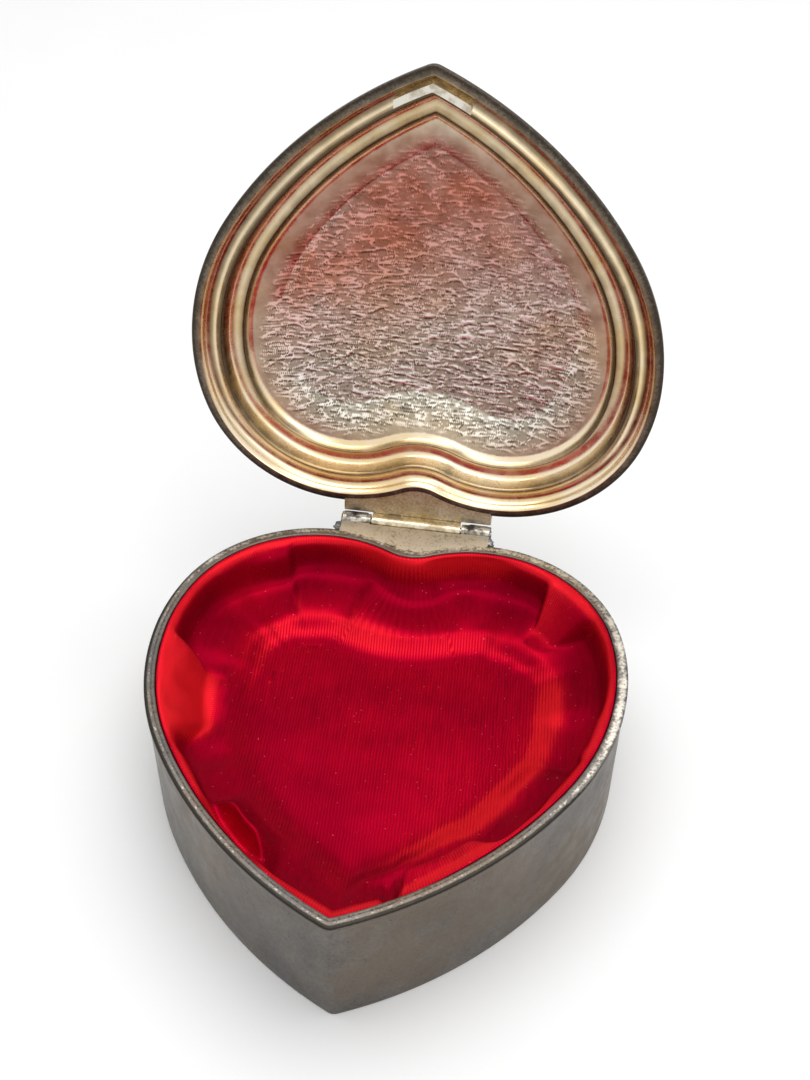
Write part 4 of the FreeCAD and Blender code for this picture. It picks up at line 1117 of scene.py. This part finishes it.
@dataclass
class BaseCasing:
    """The heart-shaped wall of the box with its rim bead, and the lug that carries the hinge."""

    outline: HeartOutline
    finish: TarnishedPlate
    height: float = 31.5
    wall: float = 2.1
    bead: float = 0.3
    bead_height: float = 1.7
    step: float = 0.6
    dent_depth: float = 0.035
    # Widths of the rim's pale line: worn metal and a painted highlight.
    bright_line: float = 0.32
    bright_band: float = 0.9
    land_half: float = 17.0
    land_back: float = 53.892
    land_low: float = 25.1
    land_round: float = 0.22
    knuckle_recess: float = 0.3
    post_radius: float = 3.2
    posts: tuple[Pair, ...] = ((0.0, -45.86), (36.88, 38.15), (-36.88, 38.15))
    post_low: float = 2.0
    post_high: float = 15.95
    post_round: float = 0.15

    def build(self) -> Piece:
        """Build the wall as one closed ring.

        Returns:
            The wall.
        """
        top = self.height
        under = top - self.bead_height
        corners = [
            (0.25, 0.0), (0.0, 0.25), (0.0, 6.0), (0.0, 14.0), (0.0, 22.0), (0.0, under - 0.5), (0.0, under),
            (-self.bead, under + 0.15), (-self.bead, top - 0.5), (-self.bead + 0.1, top - 0.1), (0.3, top),
            (1.1, top), (self.wall - 0.25, top - 0.02), (self.wall, top - 0.25), (self.wall, 24.0),
            (self.wall, 12.0), (self.wall, 0.2), (self.wall - 0.2, 0.0),
        ]
        profile = Meshes.smooth_profile(corners, 2, closed=True)
        rings = self.outline.rings(profile, self.step)
        points = rings.reshape(-1, 3)
        number = rings.shape[1]
        inset, level = np.repeat(profile, number, axis=0).T
        fine, coarse = (1.1, 1.1, 1.1), (3.5, 3.5, 3.5)
        dents = Meshes.speckle(points, fine, 5.1) + 0.6 * Meshes.speckle(points, coarse, 8.8)
        points[:, 2] += self.dent_depth * dents * Meshes.fade(level, under, top)
        piece = Meshes.add("base_casing", points, Meshes.skin(len(rings), number, closed=True))
        on_top = Meshes.fade(level, top - 0.9, top - 0.3)
        foot = Meshes.fade(level, 0.8, 0.0)
        # Right side and back, where the rim's pale line is wider: partly wear, partly painted highlight where
        # the light falls.
        right = Meshes.fade(points[:, 0], -5.0, 35.0) * Meshes.fade(points[:, 1], -22.0, 3.0)
        worn_and_lit = np.clip(right + 0.6 * Meshes.fade(points[:, 1], 22.0, 40.0), 0.0, 1.0)
        # The pale line along the rim's crown: worn metal and a painted highlight in one.
        broad = self.bright_line + self.bright_band * worn_and_lit
        line = np.exp(-((inset - 0.35 * self.wall) / broad) ** 2) * on_top
        # The rim top's outer rounding, darkened with painted shade.
        outer = Meshes.fade(inset, 1.5, 1.0)
        # The first mark pales the rim's line with wear and painted highlight and the foot with wear; the
        # second darkens the rest of the rim top with dirt and painted shade, most at its outer edge and away
        # from the right and back.
        Meshes.mark(
            piece, wear_and_highlight=(0.40 + 0.27 * worn_and_lit) * line + 0.25 * foot,
            grime_and_shade=on_top * (1.0 - line) * (0.1 + 0.4 * outer + 0.3 * (1.0 - worn_and_lit)),
        )
        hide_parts("base_shell")
        return piece

    def land(self) -> Piece:
        """Build the hinge lug behind the notch.

        Returns:
            The lug.
        """
        plan = Land.outline(self.outline, 0.0, self.land_half, self.land_back, self.knuckle_recess)
        piece = Meshes.prism("base_land", plan, self.land_low, self.height - 0.01, self.land_round)
        Meshes.mark(piece, wear_and_highlight=0.82, grime_and_shade=0.0)
        return piece

    def post(self, index: int, place: Pair) -> Piece:
        """One of the posts that carry the plate and the false floor.

        Args:
            index: its number.
            place: its middle.

        Returns:
            The post.
        """
        turn = np.linspace(0.0, 2 * math.pi, 40, endpoint=False)
        plan = np.array(place) + self.post_radius * np.column_stack([np.cos(turn), np.sin(turn)])
        piece = Meshes.prism(f"base_post_{index}", plan, self.post_low, self.post_high, self.post_round)
        Meshes.mark(piece, wear_and_highlight=0.0, grime_and_shade=0.0)
        return piece

    def make(self) -> list[Piece]:
        """Build and dress the base.

        Returns:
            Its pieces.
        """
        pieces = [self.build(), self.land()]
        pieces += [self.post(index, place) for index, place in enumerate(self.posts)]
        material = self.finish.material()
        for piece in pieces:
            piece.data.materials.append(material)
            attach(piece, "base")
        return pieces


@dataclass(frozen=True)
class Tuck:
    """A stretch of the lining's edge where the cloth is folded another way, in millimetres from the tip."""

    start: float
    end: float
    start_soft: float
    end_soft: float
    form: tuple[Pair, ...]
    taper: float = 0.0
    # Painted highlight on the fold, added to the cloth's painted sheen.
    shine: float = 0.0

    def weight(self, along: np.ndarray) -> np.ndarray:
        """How much of the fold there is.

        Args:
            along: places along the outline.

        Returns:
            The share from 0 to 1 for each row of the fold, which narrows inwards, at each place.
        """
        row = np.arange(len(self.form))[:, None] / (len(self.form) - 1)
        narrow = 0.5 * (self.end - self.start) * (1.0 - np.sqrt(1.0 - (self.taper * row) ** 2))
        rise = np.clip((along - self.start - narrow) / self.start_soft + 0.5, 0.0, 1.0)
        fall = np.clip((self.end - narrow - along) / self.end_soft + 0.5, 0.0, 1.0)
        both = np.minimum(rise, fall)
        return both * both * (3.0 - 2.0 * both)


FLAP = (
    (1.6, 31.2), (3.2, 30.5), (4.9, 29.0), (6.4, 27.0), (7.7, 25.0), (8.6, 23.4), (9.3, 22.2), (10.0, 21.5),
    (11.2, 21.1),
)
LEAF = (
    (1.5, 31.2), (2.6, 30.4), (3.8, 28.8), (5.2, 26.8), (6.6, 24.9), (7.9, 23.3), (9.0, 22.1), (9.9, 21.5),
    (11.2, 21.1),
)
PUFF = (
    (1.5, 31.2), (2.7, 30.5), (3.6, 29.0), (4.1, 27.0), (4.5, 25.0), (5.1, 23.4), (6.3, 22.2), (8.4, 21.5),
    (11.0, 21.1),
)
STRIP = (
    (2.4, 30.6), (4.4, 30.4), (5.3, 29.7), (5.5, 28.2), (5.3, 26.0), (5.2, 24.0), (6.0, 22.5), (8.2, 21.6),
    (10.9, 21.1),
)
GAP = (
    (0.5, 29.6), (0.7, 28.4), (0.9, 27.2), (1.2, 25.8), (1.8, 24.4), (2.9, 23.0), (4.9, 22.1), (7.6, 21.5),
    (10.6, 21.1),
)
SWELL = (
    (1.8, 31.1), (3.0, 30.5), (3.5, 29.2), (3.4, 27.2), (3.4, 25.2), (3.9, 23.4), (5.2, 22.2), (7.8, 21.5),
    (10.6, 21.1),
)
CURL = (
    (0.8, 29.8), (1.4, 26.6), (3.0, 25.4), (4.6, 26.8), (5.6, 29.4), (6.3, 29.9), (6.9, 28.4), (7.3, 24.6),
    (10.6, 21.1),
)


CLOTH_SETTINGS = {
    "quality": 6, "mass": 0.2, "tension_stiffness": 18.0, "compression_stiffness": 18.0,
    "shear_stiffness": 6.0, "bending_stiffness": 8.0, "air_damping": 3.0, "pin_stiffness": 1.0,
}


@dataclass
class SatinLining:
    """The padded satin tray: a rolled edge under the rim, soft walls and a floor, in one cloth."""

    outline: HeartOutline
    finish: Satin
    edge: float = 2.15
    step: float = 0.9
    under: float = 17.05
    floor: float = 18.5
    tip_drop: float = 1.1
    tip_reach: float = 13.0
    profile: tuple[Pair, ...] = (
        (0.0, 29.5), (0.0, 31.1), (0.1, 31.5), (0.9, 31.35), (1.7, 30.5), (2.1, 28.9),
        (2.4, 27.0), (2.9, 25.3), (3.9, 23.9), (5.8, 22.8), (8.4, 21.9), (11.0, 21.2),
        (12.4, 20.5), (14.2, 19.5), (16.0, 18.8), (18.2, 18.55), (22.0, 18.5),
    )
    first_folded: int = 3
    tucks: tuple[Tuck, ...] = (
        Tuck(189.5, 210.0, 2.4, 20.0, PUFF, 0.0, 0.30),
        Tuck(109.5, 124.5, 5.0, 2.4, LEAF, 0.8, 0.50),
        Tuck(232.0, 260.0, 2.8, 8.0, FLAP, 0.85, 1.30),
        Tuck(281.5, 298.0, 9.0, 9.0, CURL, 0.45, 0.25),
        Tuck(16.2, 36.0, 1.9, 7.0, STRIP, 0.0, 0.60),
        Tuck(11.8, 15.2, 1.8, 1.8, GAP),
        Tuck(66.2, 84.0, 2.2, 15.0, SWELL, 0.4, 0.25),
    )
    shelf_shift: float = 3.4
    shelf_from: Pair = (100.0, 130.0)
    shelf_to: Pair = (240.0, 280.0)
    floor_pitch: Pair = (1.0, 0.87)
    bed_pitch: Pair = (4.0, 4.0)
    held_rings: int = 6
    thread_slant: float = 0.06
    spare_cloth: float = 0.016
    bench_scale: float = 20.0
    frames: int = 24
    most_moved: float = 1.3
    easing: int = 10

    def places(self) -> np.ndarray:
        """Measure along the outline.

        Returns:
            How far along it each point of a ring is.
        """
        ring = self.outline.ring(0.0, self.step)
        length = np.linalg.norm(np.roll(ring, -1, axis=0) - ring, axis=1)
        return np.concatenate([[0.0], np.cumsum(length)[:-1]])

    def controls(self, along: np.ndarray) -> np.ndarray:
        """The profile at each place along the edge, with its folds and its unevenness.

        Args:
            along: places along the outline.

        Returns:
            Depth and level of each row of the profile at each place.
        """
        rows = np.repeat(np.array(self.profile)[:, None, :], len(along), axis=1)
        last = self.first_folded + len(FLAP)
        for tuck in self.tucks:
            share = tuck.weight(along)[:, :, None]
            folded = np.array(tuck.form)[:, None, :]
            part = rows[self.first_folded:last]
            rows[self.first_folded:last] = part + share * (folded - part)
        ring = self.outline.ring(0.0, self.step)
        broad = Meshes.speckle(ring, (15.0, 15.0), 4.4)
        small = Meshes.speckle(ring, (5.5, 5.5), 9.7)
        foot = Meshes.speckle(ring, (21.0, 21.0), 6.1)
        rows[4:11, :, 0] += broad + 0.3 * small
        wide = Meshes.fade(along, *self.shelf_from) * Meshes.fade(along, *reversed(self.shelf_to))
        rows[10:16, :, 0] += self.shelf_shift * wide + 1.5 * foot + 0.4 * small
        rows[9:13, :, 1] += 0.4 * broad
        rows[2:5, :, 1] += 0.12 * small
        near_tip = np.minimum(along, along[-1] - along)
        rows[:5, :, 1] -= self.tip_drop * np.clip(2.0 - near_tip / self.tip_reach, 0.0, 1.0)
        return rows

    def wall(self, rows: np.ndarray) -> np.ndarray:
        """The rings of the lining from its hidden edge down to its floor.

        Args:
            rows: depth and level of each ring at each place along the edge.

        Returns:
            The points, as an array of rings.
        """
        spacing, number = 0.25, 98
        insets = [self.edge + spacing * index for index in range(number)]
        table = np.stack([self.outline.ring(inset, self.step) for inset in insets])
        depth = np.clip(rows[:, :, 0] / spacing, 0.0, len(table) - 1.001)
        whole = depth.astype(int)
        share = (depth - whole)[:, :, None]
        column = np.arange(rows.shape[1])[None, :]
        plan = (1.0 - share) * table[whole, column] + share * table[whole + 1, column]
        return np.concatenate([plan, rows[:, :, 1:]], axis=2)

    def settle(self, points: np.ndarray, faces: Faces, hold: np.ndarray) -> np.ndarray:
        """Let the cloth crumple a little, as spare cloth over wadding does.

        Args:
            points: the cloth as it was laid.
            faces: its faces.
            hold: how firmly each point is held, from 0 to 1.

        Returns:
            The points after a short cloth simulation.
        """
        mesh = bpy.data.meshes.new("laid_cloth")
        mesh.from_pydata((points * MM * self.bench_scale).tolist(), [], faces)
        laid = bpy.data.objects.new("laid_cloth", mesh)
        scene = bpy.context.scene
        scene.collection.objects.link(laid)
        held = laid.vertex_groups.new(name="held")
        for index, share in enumerate(hold):
            held.add([index], float(share), "REPLACE")
        cloth = laid.modifiers.new("cloth", "CLOTH")
        cloth.collision_settings.use_collision = False
        cloth.point_cache.frame_end = self.frames
        settings = cloth.settings
        for name, value in CLOTH_SETTINGS.items():
            setattr(settings, name, value)
        settings.shrink_min = -self.spare_cloth
        settings.shrink_max = -self.spare_cloth
        settings.vertex_group_mass = "held"
        settings.effector_weights.gravity = 0.0
        for frame in range(1, self.frames + 1):
            scene.frame_set(frame)
        shape = laid.evaluated_get(bpy.context.evaluated_depsgraph_get()).data
        after = np.empty(3 * len(points), np.float32)
        shape.vertices.foreach_get("co", after)
        scene.frame_set(1)
        bpy.data.objects.remove(laid)
        bpy.data.meshes.remove(mesh)
        moved = after.reshape(-1, 3) / (MM * self.bench_scale) - points
        length = np.linalg.norm(moved, axis=1)[:, None]
        LOG.info("lining settled: moved %.2f mm on average, %.2f at most", length.mean(), length.max())
        return points + moved * np.minimum(1.0, self.most_moved / np.maximum(length, 1e-6))

    def eased(self, moved: np.ndarray) -> np.ndarray:
        """Average the movement along the rings, so that folds are soft.

        Args:
            moved: how far each point of the rings moved.

        Returns:
            The movement after averaging.
        """
        for _ in range(self.easing):
            moved = 0.5 * moved + 0.25 * (np.roll(moved, 1, axis=1) + np.roll(moved, -1, axis=1))
        return moved

    def build(self) -> Piece:
        """Build the cloth over its padding as one closed mesh.

        Returns:
            The lining.
        """
        along = self.places()
        number = len(along)
        rows = Meshes.smooth_profile(self.controls(along), 1)
        wall = self.wall(rows)
        count = len(wall)
        inner = wall[-1, :, :2]
        floor, floor_faces = Meshes.fill(inner, self.floor_pitch)
        ease = Meshes.fade(Meshes.depth_inside(floor, inner), 0.0, 4.0)
        waves = 0.22 * Meshes.speckle(floor, (13.0, 10.0), 2.2)
        waves += 0.06 * Meshes.speckle(floor, (5.0, 4.0), 7.2)
        cloth = np.concatenate([wall.reshape(-1, 3), np.column_stack([floor, self.floor + ease * waves])])
        rim = (count - 1) * number
        first = count * number
        faces = Meshes.skin(count, number)
        faces += Meshes.renumber(floor_faces, number, rim, first)
        grip = np.clip(1.0 - (rows[:, :, 0] - 0.9), 0.03, 1.0)
        grip[:self.held_rings] = 1.0
        grip = np.maximum(grip, Meshes.fade(rows[:, :, 0], 11.0, 17.0))
        hold = np.concatenate([grip.ravel(), np.ones(len(floor))])
        moved = self.settle(cloth, faces, hold) - cloth
        moved[:first] = self.eased(moved[:first].reshape(count, number, 3)).reshape(-1, 3)
        cloth = cloth + moved
        cloth[:, 2] = np.maximum(cloth[:, 2], self.under + 0.5)

        skirt = np.column_stack([wall[0, :, :2], np.full(number, self.under)])
        bed, bed_faces = Meshes.fill(skirt[:, :2], self.bed_pitch)
        start = len(cloth)
        after = start + number
        faces += [(column, start + column, start + (column + 1) % number, (column + 1) % number)
                  for column in range(number)]
        faces += Meshes.renumber(bed_faces, number, start, after)
        points = np.concatenate([cloth, skirt, np.column_stack([bed, np.full(len(bed), self.under)])])
        piece = Meshes.add("satin_lining", points, faces)
        rest = len(points) - count * number
        depth = np.concatenate([rows[:, :, 0].ravel(), np.full(rest, 30.0)])
        # Painted highlights of the folds, added to the painted sheen.
        folds = np.concatenate([self.shine(along).ravel(), np.zeros(rest)])
        # The last mark is painted sheen on the rolled edge, slopes and folds; it lightens the satin's colour.
        Meshes.mark(
            piece, across=points[:, 0] + self.thread_slant * points[:, 1],
            along=np.concatenate([np.tile(along, count), np.zeros(rest)]),
            upright=Meshes.fade(points[:, 2], 19.6, 22.0), painted_sheen=self.painted_sheen(piece, depth) + folds,
        )
        smooth = piece.modifiers.new("smooth_cloth", "SUBSURF")
        smooth.levels = 1
        smooth.render_levels = 1
        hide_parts("lining_wall", "lining_floor")
        return piece

    def shine(self, along: np.ndarray) -> np.ndarray:
        """How much painted highlight the folds get.

        Args:
            along: places along the outline.

        Returns:
            The painted highlight on each ring at each place.
        """
        total = np.zeros((len(self.profile), len(along)))
        last = self.first_folded + len(FLAP)
        for tuck in self.tucks:
            late = 0.35 + 0.65 * np.clip((along - tuck.start) / (tuck.end - tuck.start), 0.0, 1.0)
            total[self.first_folded:last - 2] += tuck.shine * tuck.weight(along)[:-2] * late
        return Meshes.smooth_profile(total, 1)

    @staticmethod
    def painted_sheen(piece: Piece, depth: np.ndarray) -> np.ndarray:
        """Painted sheen: colour made lighter on the rolled edge and on the slopes round the floor, where
        light is mirrored, less on the floor itself, less at the front and more on the right.

        Args:
            piece: the lining.
            depth: how far inside the lining's edge each of its points is.

        Returns:
            The painted sheen of each point.
        """
        number = len(piece.data.vertices)
        normals = np.empty(3 * number, np.float32)
        piece.data.vertex_normals.foreach_get("vector", normals)
        places = np.empty(3 * number, np.float32)
        piece.data.vertices.foreach_get("co", places)
        tilt = np.degrees(np.arccos(np.clip(np.abs(normals.reshape(-1, 3)[:, 2]), 0.0, 1.0)))
        plan = places.reshape(-1, 3) / MM
        front = Meshes.fade(-plan[:, 0] - plan[:, 1], 4.0, 24.0)
        inside = Meshes.fade(depth, 8.5, 11.5) * (1.0 - 0.85 * front)
        roll = 0.72 * np.exp(-(((depth - 1.2) / 1.0) ** 2))
        flat = 0.16 * np.exp(-((tilt / 9.0) ** 2)) * inside
        right = Meshes.fade(0.8 * plan[:, 0] - 0.6 * plan[:, 1], 10.0, 18.0)
        back = Meshes.fade(plan[:, 1], 12.0, 18.0) * Meshes.fade(plan[:, 0], -4.0, 2.0)
        slope = 0.46 + 0.3 * right - 0.1 * back
        return roll + flat + slope * inside * np.exp(-(((tilt - 24.0) / (10.0 + 3.0 * right)) ** 2))

    def make(self) -> list[Piece]:
        """Build and dress the lining.

        Returns:
            The lining, in a list.
        """
        piece = self.build()
        piece.data.materials.append(self.finish.material())
        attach(piece, "base")
        return [piece]


@dataclass
class HingeSolder:
    """The rough solder at both ends of the hinge: a lump beside each end, and a skin on each end knuckle."""

    finish: TurnedMetal
    places: tuple[Triple, ...] = (
        (-16.9, 52.9, 30.5), (16.7, 52.8, 30.5), (-14.3, 55.4924, 30.6), (14.2, 55.4924, 30.6),
    )
    half_sizes: tuple[Triple, ...] = (
        (1.7, 1.5, 0.85), (1.5, 1.2, 0.85), (7.5, 1.85, 1.85), (7.5, 1.7, 1.7),
    )
    reach: float = 3.0
    clear: float = 1.88
    rings: int = 28
    columns: int = 40
    roughness: float = 0.34

    def lump(self, index: int) -> Piece:
        """One lump, a pebble with an uneven skin.

        Args:
            index: its number.

        Returns:
            The lump.
        """
        polar = np.linspace(0.0, math.pi, self.rings + 2)[1:-1]
        around = np.linspace(0.0, 2 * math.pi, self.columns, endpoint=False)
        ball = np.stack([
            np.outer(np.sin(polar), np.cos(around)), np.outer(np.sin(polar), np.sin(around)),
            np.outer(np.cos(polar), np.ones(self.columns)),
        ], axis=2).reshape(-1, 3)
        ball = np.concatenate([ball, [(0.0, 0.0, 1.0), (0.0, 0.0, -1.0)]])
        swell = Meshes.speckle(ball, (0.55, 0.55, 0.55), 3.3 + index)
        swell += 0.5 * Meshes.speckle(ball, (0.2, 0.2, 0.2), 7.7)
        offset = ball * (1.0 + self.roughness * swell)[:, None] * self.half_sizes[index]
        offset[:, 0] = np.clip(offset[:, 0], -self.reach, self.reach)
        reach = np.maximum(np.hypot(offset[:, 1], offset[:, 2]), 1e-6)
        offset[:, 1:] *= np.minimum(1.0, self.clear / reach)[:, None]
        points = np.array(self.places[index]) + offset
        faces = Meshes.skin(self.rings, self.columns)
        top, last = len(ball) - 2, (self.rings - 1) * self.columns
        for column in range(self.columns):
            following = (column + 1) % self.columns
            faces.append((top, column, following))
            faces.append((top + 1, last + following, last + column))
        return Meshes.add(f"hinge_solder_{index}", points, faces)

    def make(self) -> list[Piece]:
        """Build and dress the lumps.

        Returns:
            The lumps.
        """
        pieces = [self.lump(index) for index in range(len(self.places))]
        material = self.finish.material()
        for piece in pieces:
            piece.data.materials.append(material)
            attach(piece, "base")
        return pieces


@dataclass
class Works:
    """The nodes that keep their own shape: hinge, catch, underside and the comb movement."""

    frame: dict
    finishes: dict[str, object] = field(default_factory=dict)
    special: dict[str, object] = field(default_factory=dict)
    rounded: tuple[str, ...] = (
        "base_hinge_leaf", "lid_hinge_leaf", "hinge_pin", "lid_catch", "winding_key", "bottom_plate",
        "key_well",
    )
    round_off: float = 0.12

    def make(self) -> list[Piece]:
        """Give each node that is shown its finish.

        Returns:
            The nodes.
        """
        made = {slot: finish.material() for slot, finish in self.finishes.items()}
        slots = {row["node"]: row["material_slot"] for row in self.frame["record"]["subparts"]}
        dressed = []
        for name, node in self.frame["nodes"].items():
            if node.hide_render:
                continue
            node.data.materials.clear()
            own = self.special.get(name)
            node.data.materials.append(own.material() if own else made[slots[name]])
            if name in self.rounded:
                Meshes.soften(node, self.round_off, 2)
            dressed.append(node)
        return dressed


@dataclass
class Studio:
    """Pale floor, soft light and the camera where the photograph was taken."""

    target: Triple = (-1.7, 49.75, 31.4)
    camera_place: Triple = (32.76, -183.63, 258.72)
    roll: float = math.radians(0.68)
    lens: float = 48.15
    sensor: float = 36.0
    floor_half: float = 3.0
    lit_place: Triple = (0.0, 0.02, 0.05)

    def camera(self) -> None:
        """Set up the camera."""
        data = bpy.data.cameras.new("camera")
        data.lens = self.lens
        data.sensor_width = self.sensor
        data.clip_start = 0.01
        camera = bpy.data.objects.new("camera", data)
        place, target = Vector(self.camera_place) * MM, Vector(self.target) * MM
        aim = (target - place).to_track_quat("-Z", "Y").to_matrix().to_4x4()
        camera.matrix_world = Matrix.Translation(place) @ aim @ Matrix.Rotation(self.roll, 4, "Z")
        bpy.context.scene.collection.objects.link(camera)
        bpy.context.scene.camera = camera

    def light(self, name: str, place: Triple, size: float, power: float) -> None:
        """Add a soft square light that faces the box.

        Args:
            name: name of the light.
            place: where it is, in metres.
            size: its side, in metres.
            power: its power in watts.
        """
        data = bpy.data.lights.new(name, "AREA")
        data.size = size
        data.energy = power
        lamp = bpy.data.objects.new(name, data)
        lamp.location = place
        aim = Vector(self.lit_place) - Vector(place)
        lamp.rotation_euler = aim.to_track_quat("-Z", "Y").to_euler()
        bpy.context.scene.collection.objects.link(lamp)

    @staticmethod
    def pale_for_sight(tree: bpy.types.NodeTree, shader: bpy.types.Node, white: float) -> bpy.types.Node:
        """Show a plain pale glow to camera, mirror and glass rays, and a shader to the rest.

        Args:
            tree: the node tree.
            shader: what other rays meet.
            white: how pale the glow is.

        Returns:
            The node that mixes the two.
        """
        path = tree.nodes.new("ShaderNodeLightPath")
        seen = path.outputs["Is Camera Ray"]
        for name in ("Is Glossy Ray", "Is Transmission Ray"):
            add = tree.nodes.new("ShaderNodeMath")
            add.operation = "MAXIMUM"
            tree.links.new(seen, add.inputs[0])
            tree.links.new(path.outputs[name], add.inputs[1])
            seen = add.outputs[0]
        glow = tree.nodes.new("ShaderNodeBackground")
        glow.inputs["Color"].default_value = (white, white, white, 1.0)
        mix = tree.nodes.new("ShaderNodeMixShader")
        tree.links.new(seen, mix.inputs[0])
        tree.links.new(shader.outputs[0], mix.inputs[1])
        tree.links.new(glow.outputs[0], mix.inputs[2])
        return mix

    def world(self) -> None:
        """A world that looks white and lights softly."""
        world = bpy.data.worlds.new("studio")
        world.use_nodes = True
        bpy.context.scene.world = world
        tree = world.node_tree
        ambient = tree.nodes["Background"]
        ambient.inputs["Color"].default_value = (0.5, 0.5, 0.5, 1.0)
        mix = self.pale_for_sight(tree, ambient, 1.0)
        tree.links.new(mix.outputs[0], tree.nodes["World Output"].inputs["Surface"])

    def floor(self) -> None:
        """The pale table under the box."""
        half = self.floor_half / MM
        square = [(-1.0, -1.0, 0.0), (1.0, -1.0, 0.0), (1.0, 1.0, 0.0), (-1.0, 1.0, 0.0)]
        piece = Meshes.add("table", half * np.array(square), [(0, 1, 2, 3)])
        bench = Bench("pale_table")
        fleck = bench.grain(30.0, 3.0)
        skin = bench.blend(fleck, (0.90, 0.90, 0.90), (0.93, 0.93, 0.93))
        piece.data.materials.append(bench.set(Base_Color=skin, Roughness=0.8))
        piece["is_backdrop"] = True

    def make(self) -> None:
        """Set the stage."""
        self.camera()
        self.world()
        self.floor()
        self.light("overhead", (0.05, 0.15, 0.9), 0.9, 6.5)
        self.light("front", (0.5, -0.9, 0.7), 0.8, 2.5)


def corners() -> list[list[float]]:
    """The model's lowest and highest corners as plain lists."""
    return [[float(value) for value in corner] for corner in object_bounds()]


def main() -> None:
    """Build the pieces in order and report each of them."""
    logging.basicConfig(level=logging.INFO, format="%(name)s: %(message)s")
    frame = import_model()
    heart = HeartOutline()
    finishes = {
        "silver_plate": TurnedMetal("hinge_plate", (0.62, 0.57, 0.45), (0.22, 0.19, 0.14), 0.3),
        "steel": TurnedMetal("steel", (0.56, 0.56, 0.57), (0.33, 0.33, 0.33)),
        "spring_steel": TurnedMetal("spring_steel", (0.36, 0.38, 0.42), (0.20, 0.21, 0.24)),
        "gilt": TurnedMetal("gilt", (0.83, 0.62, 0.27), (0.55, 0.39, 0.16)),
        "nickel": TurnedMetal("nickel", (0.72, 0.69, 0.63), (0.42, 0.39, 0.34)),
        "cast_block": TurnedMetal("cast_block", (0.42, 0.42, 0.43), (0.27, 0.27, 0.28), 0.5),
        "painted_plate": DullSkin("painted_plate", (0.045, 0.044, 0.043), (0.022, 0.021, 0.021), 0.45),
        "board": DullSkin("board", (0.42, 0.33, 0.22), (0.30, 0.22, 0.14), 0.8, (300.0, 1800.0, 1800.0)),
        "moulding": DullSkin("moulding", (0.62, 0.60, 0.55), (0.54, 0.52, 0.47), 0.45),
    }
    special = {
        "lid_catch": TurnedMetal("catch_plate", (0.80, 0.76, 0.66), (0.52, 0.46, 0.36), 0.26),
        "lid_hinge_leaf": TurnedMetal("lid_leaf", (0.74, 0.65, 0.46), (0.40, 0.33, 0.22), 0.26),
        "base_hinge_leaf": TurnedMetal("base_leaf", (0.54, 0.49, 0.40), (0.15, 0.13, 0.10), 0.34),
    }
    builders = [
        LidCasting(heart, DishPlate("lid_plate")),
        BaseCasing(heart, TarnishedPlate("base_plate")),
        SatinLining(heart, Satin("red_satin")),
        HingeSolder(TurnedMetal("solder", (0.30, 0.29, 0.27), (0.045, 0.040, 0.034), 0.42)),
        Works(frame, finishes, special),
    ]
    for builder in builders:
        for piece in builder.make():
            LOG.info("%s: %s", type(builder).__name__, piece.name)
    Studio().make()
    bpy.context.scene.view_settings.view_transform = "Standard"


if __name__ == "__main__":
    main()
